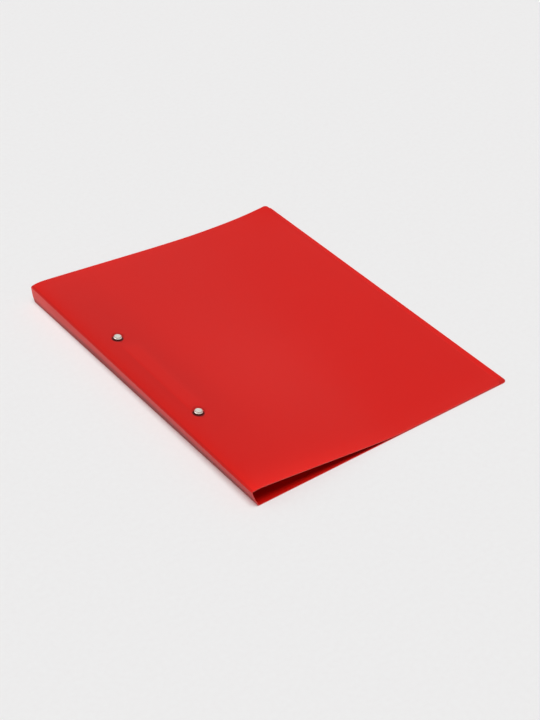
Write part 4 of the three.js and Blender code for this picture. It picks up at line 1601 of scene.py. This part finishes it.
@dataclass(frozen=True)
class Studio:
    """A pale floor under a pale sky, a soft key overhead, a window on the spine's side, and the camera.

    Sizes and places are in metres of the frame, apart from the camera's sensor and lens.
    """

    floor_rings: tuple = (0.5, 2.0, 8.0, 60.0)
    floor_sides: int = 96
    floor_drop: float = 0.00005
    speck_mm: float = 4.0
    speck: Pair = (0.98, 1.0)
    pale: float = 0.863
    floor_lit: tuple = (0.68, 0.9, 0.9)  # share of its paleness that light gives it, the rest is only seen
    sky_fill: float = 0.13
    lamps: tuple = (
        Lamp("key", 2.54, math.radians(32), (-0.2, -0.2, 0.94)),
        Lamp("window", 0.5, math.radians(50), (-0.82, 0.3, 0.48)),
    )
    azimuth: float = math.radians(-36.677)
    elevation: float = math.radians(37.703)
    target: tuple = (-0.008436, -0.022918, 0.0)
    distance: float = 1.436774
    sensor_mm: float = 36.0
    lens_mm: float = 90.963
    seen_from_to: Pair = (0.05, 60.0)

    def _seen(self, tree: bpy.types.NodeTree) -> Socket:
        """Return 1 where the studio is seen, by the camera or reflected, and 0 where it only gives light.

        Args:
            tree: The nodes that it is added to.

        Returns:
            The share.
        """
        rays = tree.nodes.new("ShaderNodeLightPath")
        seen = rays.outputs["Is Camera Ray"]
        for kind in ("Is Glossy Ray", "Is Transmission Ray"):
            either = tree.nodes.new("ShaderNodeMath")
            either.operation = "MAXIMUM"
            tree.links.new(seen, either.inputs[0])
            tree.links.new(rays.outputs[kind], either.inputs[1])
            seen = either.outputs["Value"]
        return seen

    def floor(self) -> None:
        """Make the floor as a disc of rings that reaches far beyond the camera's view."""
        profile = [(radius, -self.floor_drop) for radius in (0, *self.floor_rings)]
        points, faces = turned(profile, self.floor_sides)
        mesh = bpy.data.meshes.new("studio_floor")
        mesh.from_pydata(points.tolist(), [], [face[::-1] for face in faces])
        board = NodeBoard("studio_floor")
        speck = board.spread(board.noise(self.speck_mm, 2.0), self.speck)
        lit = tuple(self.pale * share for share in self.floor_lit)
        colour = board.mix(speck, (0, 0, 0, 1), (*lit, 1))
        board.feed(Base_Color=colour, Emission_Strength=self._seen(board.tree))
        left = (*(self.pale - share for share in lit), 1)
        board.fix(Roughness=1.0, Specular_IOR_Level=0.0, Emission_Color=left)
        mesh.materials.append(board.material)
        floor = shown("studio_floor", mesh)

    def sky(self) -> None:
        """Make a sky that is seen pale, in metal too, and adds only a little light."""
        scene = bpy.context.scene
        world = scene.world or bpy.data.worlds.new("studio_sky")
        scene.world = world
        world.use_nodes = True
        tree = world.node_tree
        background = tree.nodes["Background"]
        background.inputs["Color"].default_value = (1, 1, 1, 1)
        strength = tree.nodes.new("ShaderNodeMapRange")
        strength.inputs["To Min"].default_value = self.sky_fill
        strength.inputs["To Max"].default_value = self.pale
        tree.links.new(self._seen(tree), strength.inputs["Value"])
        tree.links.new(strength.outputs["Result"], background.inputs["Strength"])

    def _faced(self, made: bpy.types.Object, back: Vector) -> bpy.types.Object:
        """Turn a lamp or a camera so that its back points along a vector, and return it."""
        made.rotation_mode = "QUATERNION"
        made.rotation_quaternion = back.to_track_quat("Z", "Y")
        return made

    def light(self, lamp: Lamp) -> None:
        """Hang a lamp."""
        light = bpy.data.lights.new(lamp.name, "SUN")
        light.energy = lamp.strength
        light.angle = lamp.spread
        self._faced(shown(lamp.name, light), Vector(lamp.towards))

    def camera(self) -> None:
        """Set the camera where the photograph was taken from."""
        lens = bpy.data.cameras.new("camera")
        lens.sensor_width = self.sensor_mm
        lens.lens = self.lens_mm
        lens.clip_start, lens.clip_end = self.seen_from_to
        level = math.cos(self.elevation)
        side, front = math.sin(self.azimuth) * level, -math.cos(self.azimuth) * level
        back = Vector((side, front, math.sin(self.elevation)))
        camera = self._faced(shown("camera", lens), back)
        camera.location = Vector(self.target) + self.distance * back
        bpy.context.scene.camera = camera

    def build(self) -> None:
        """Make the whole studio."""
        bpy.context.scene.view_settings.view_transform = "Standard"
        self.camera()
        self.floor()
        self.sky()
        for lamp in self.lamps:
            self.light(lamp)


def main() -> None:
    """Build the folder and the studio."""
    logging.basicConfig(level=logging.INFO, format="%(message)s")
    Studio().build()
    finishes = Finishes()
    sheet = SheetForm()
    seat = ClipSeat(sheet, ClampForm())
    Folder(sheet, seat, finishes).build()
    Clamp(seat, finishes).build()


if __name__ == "__main__":
    main()
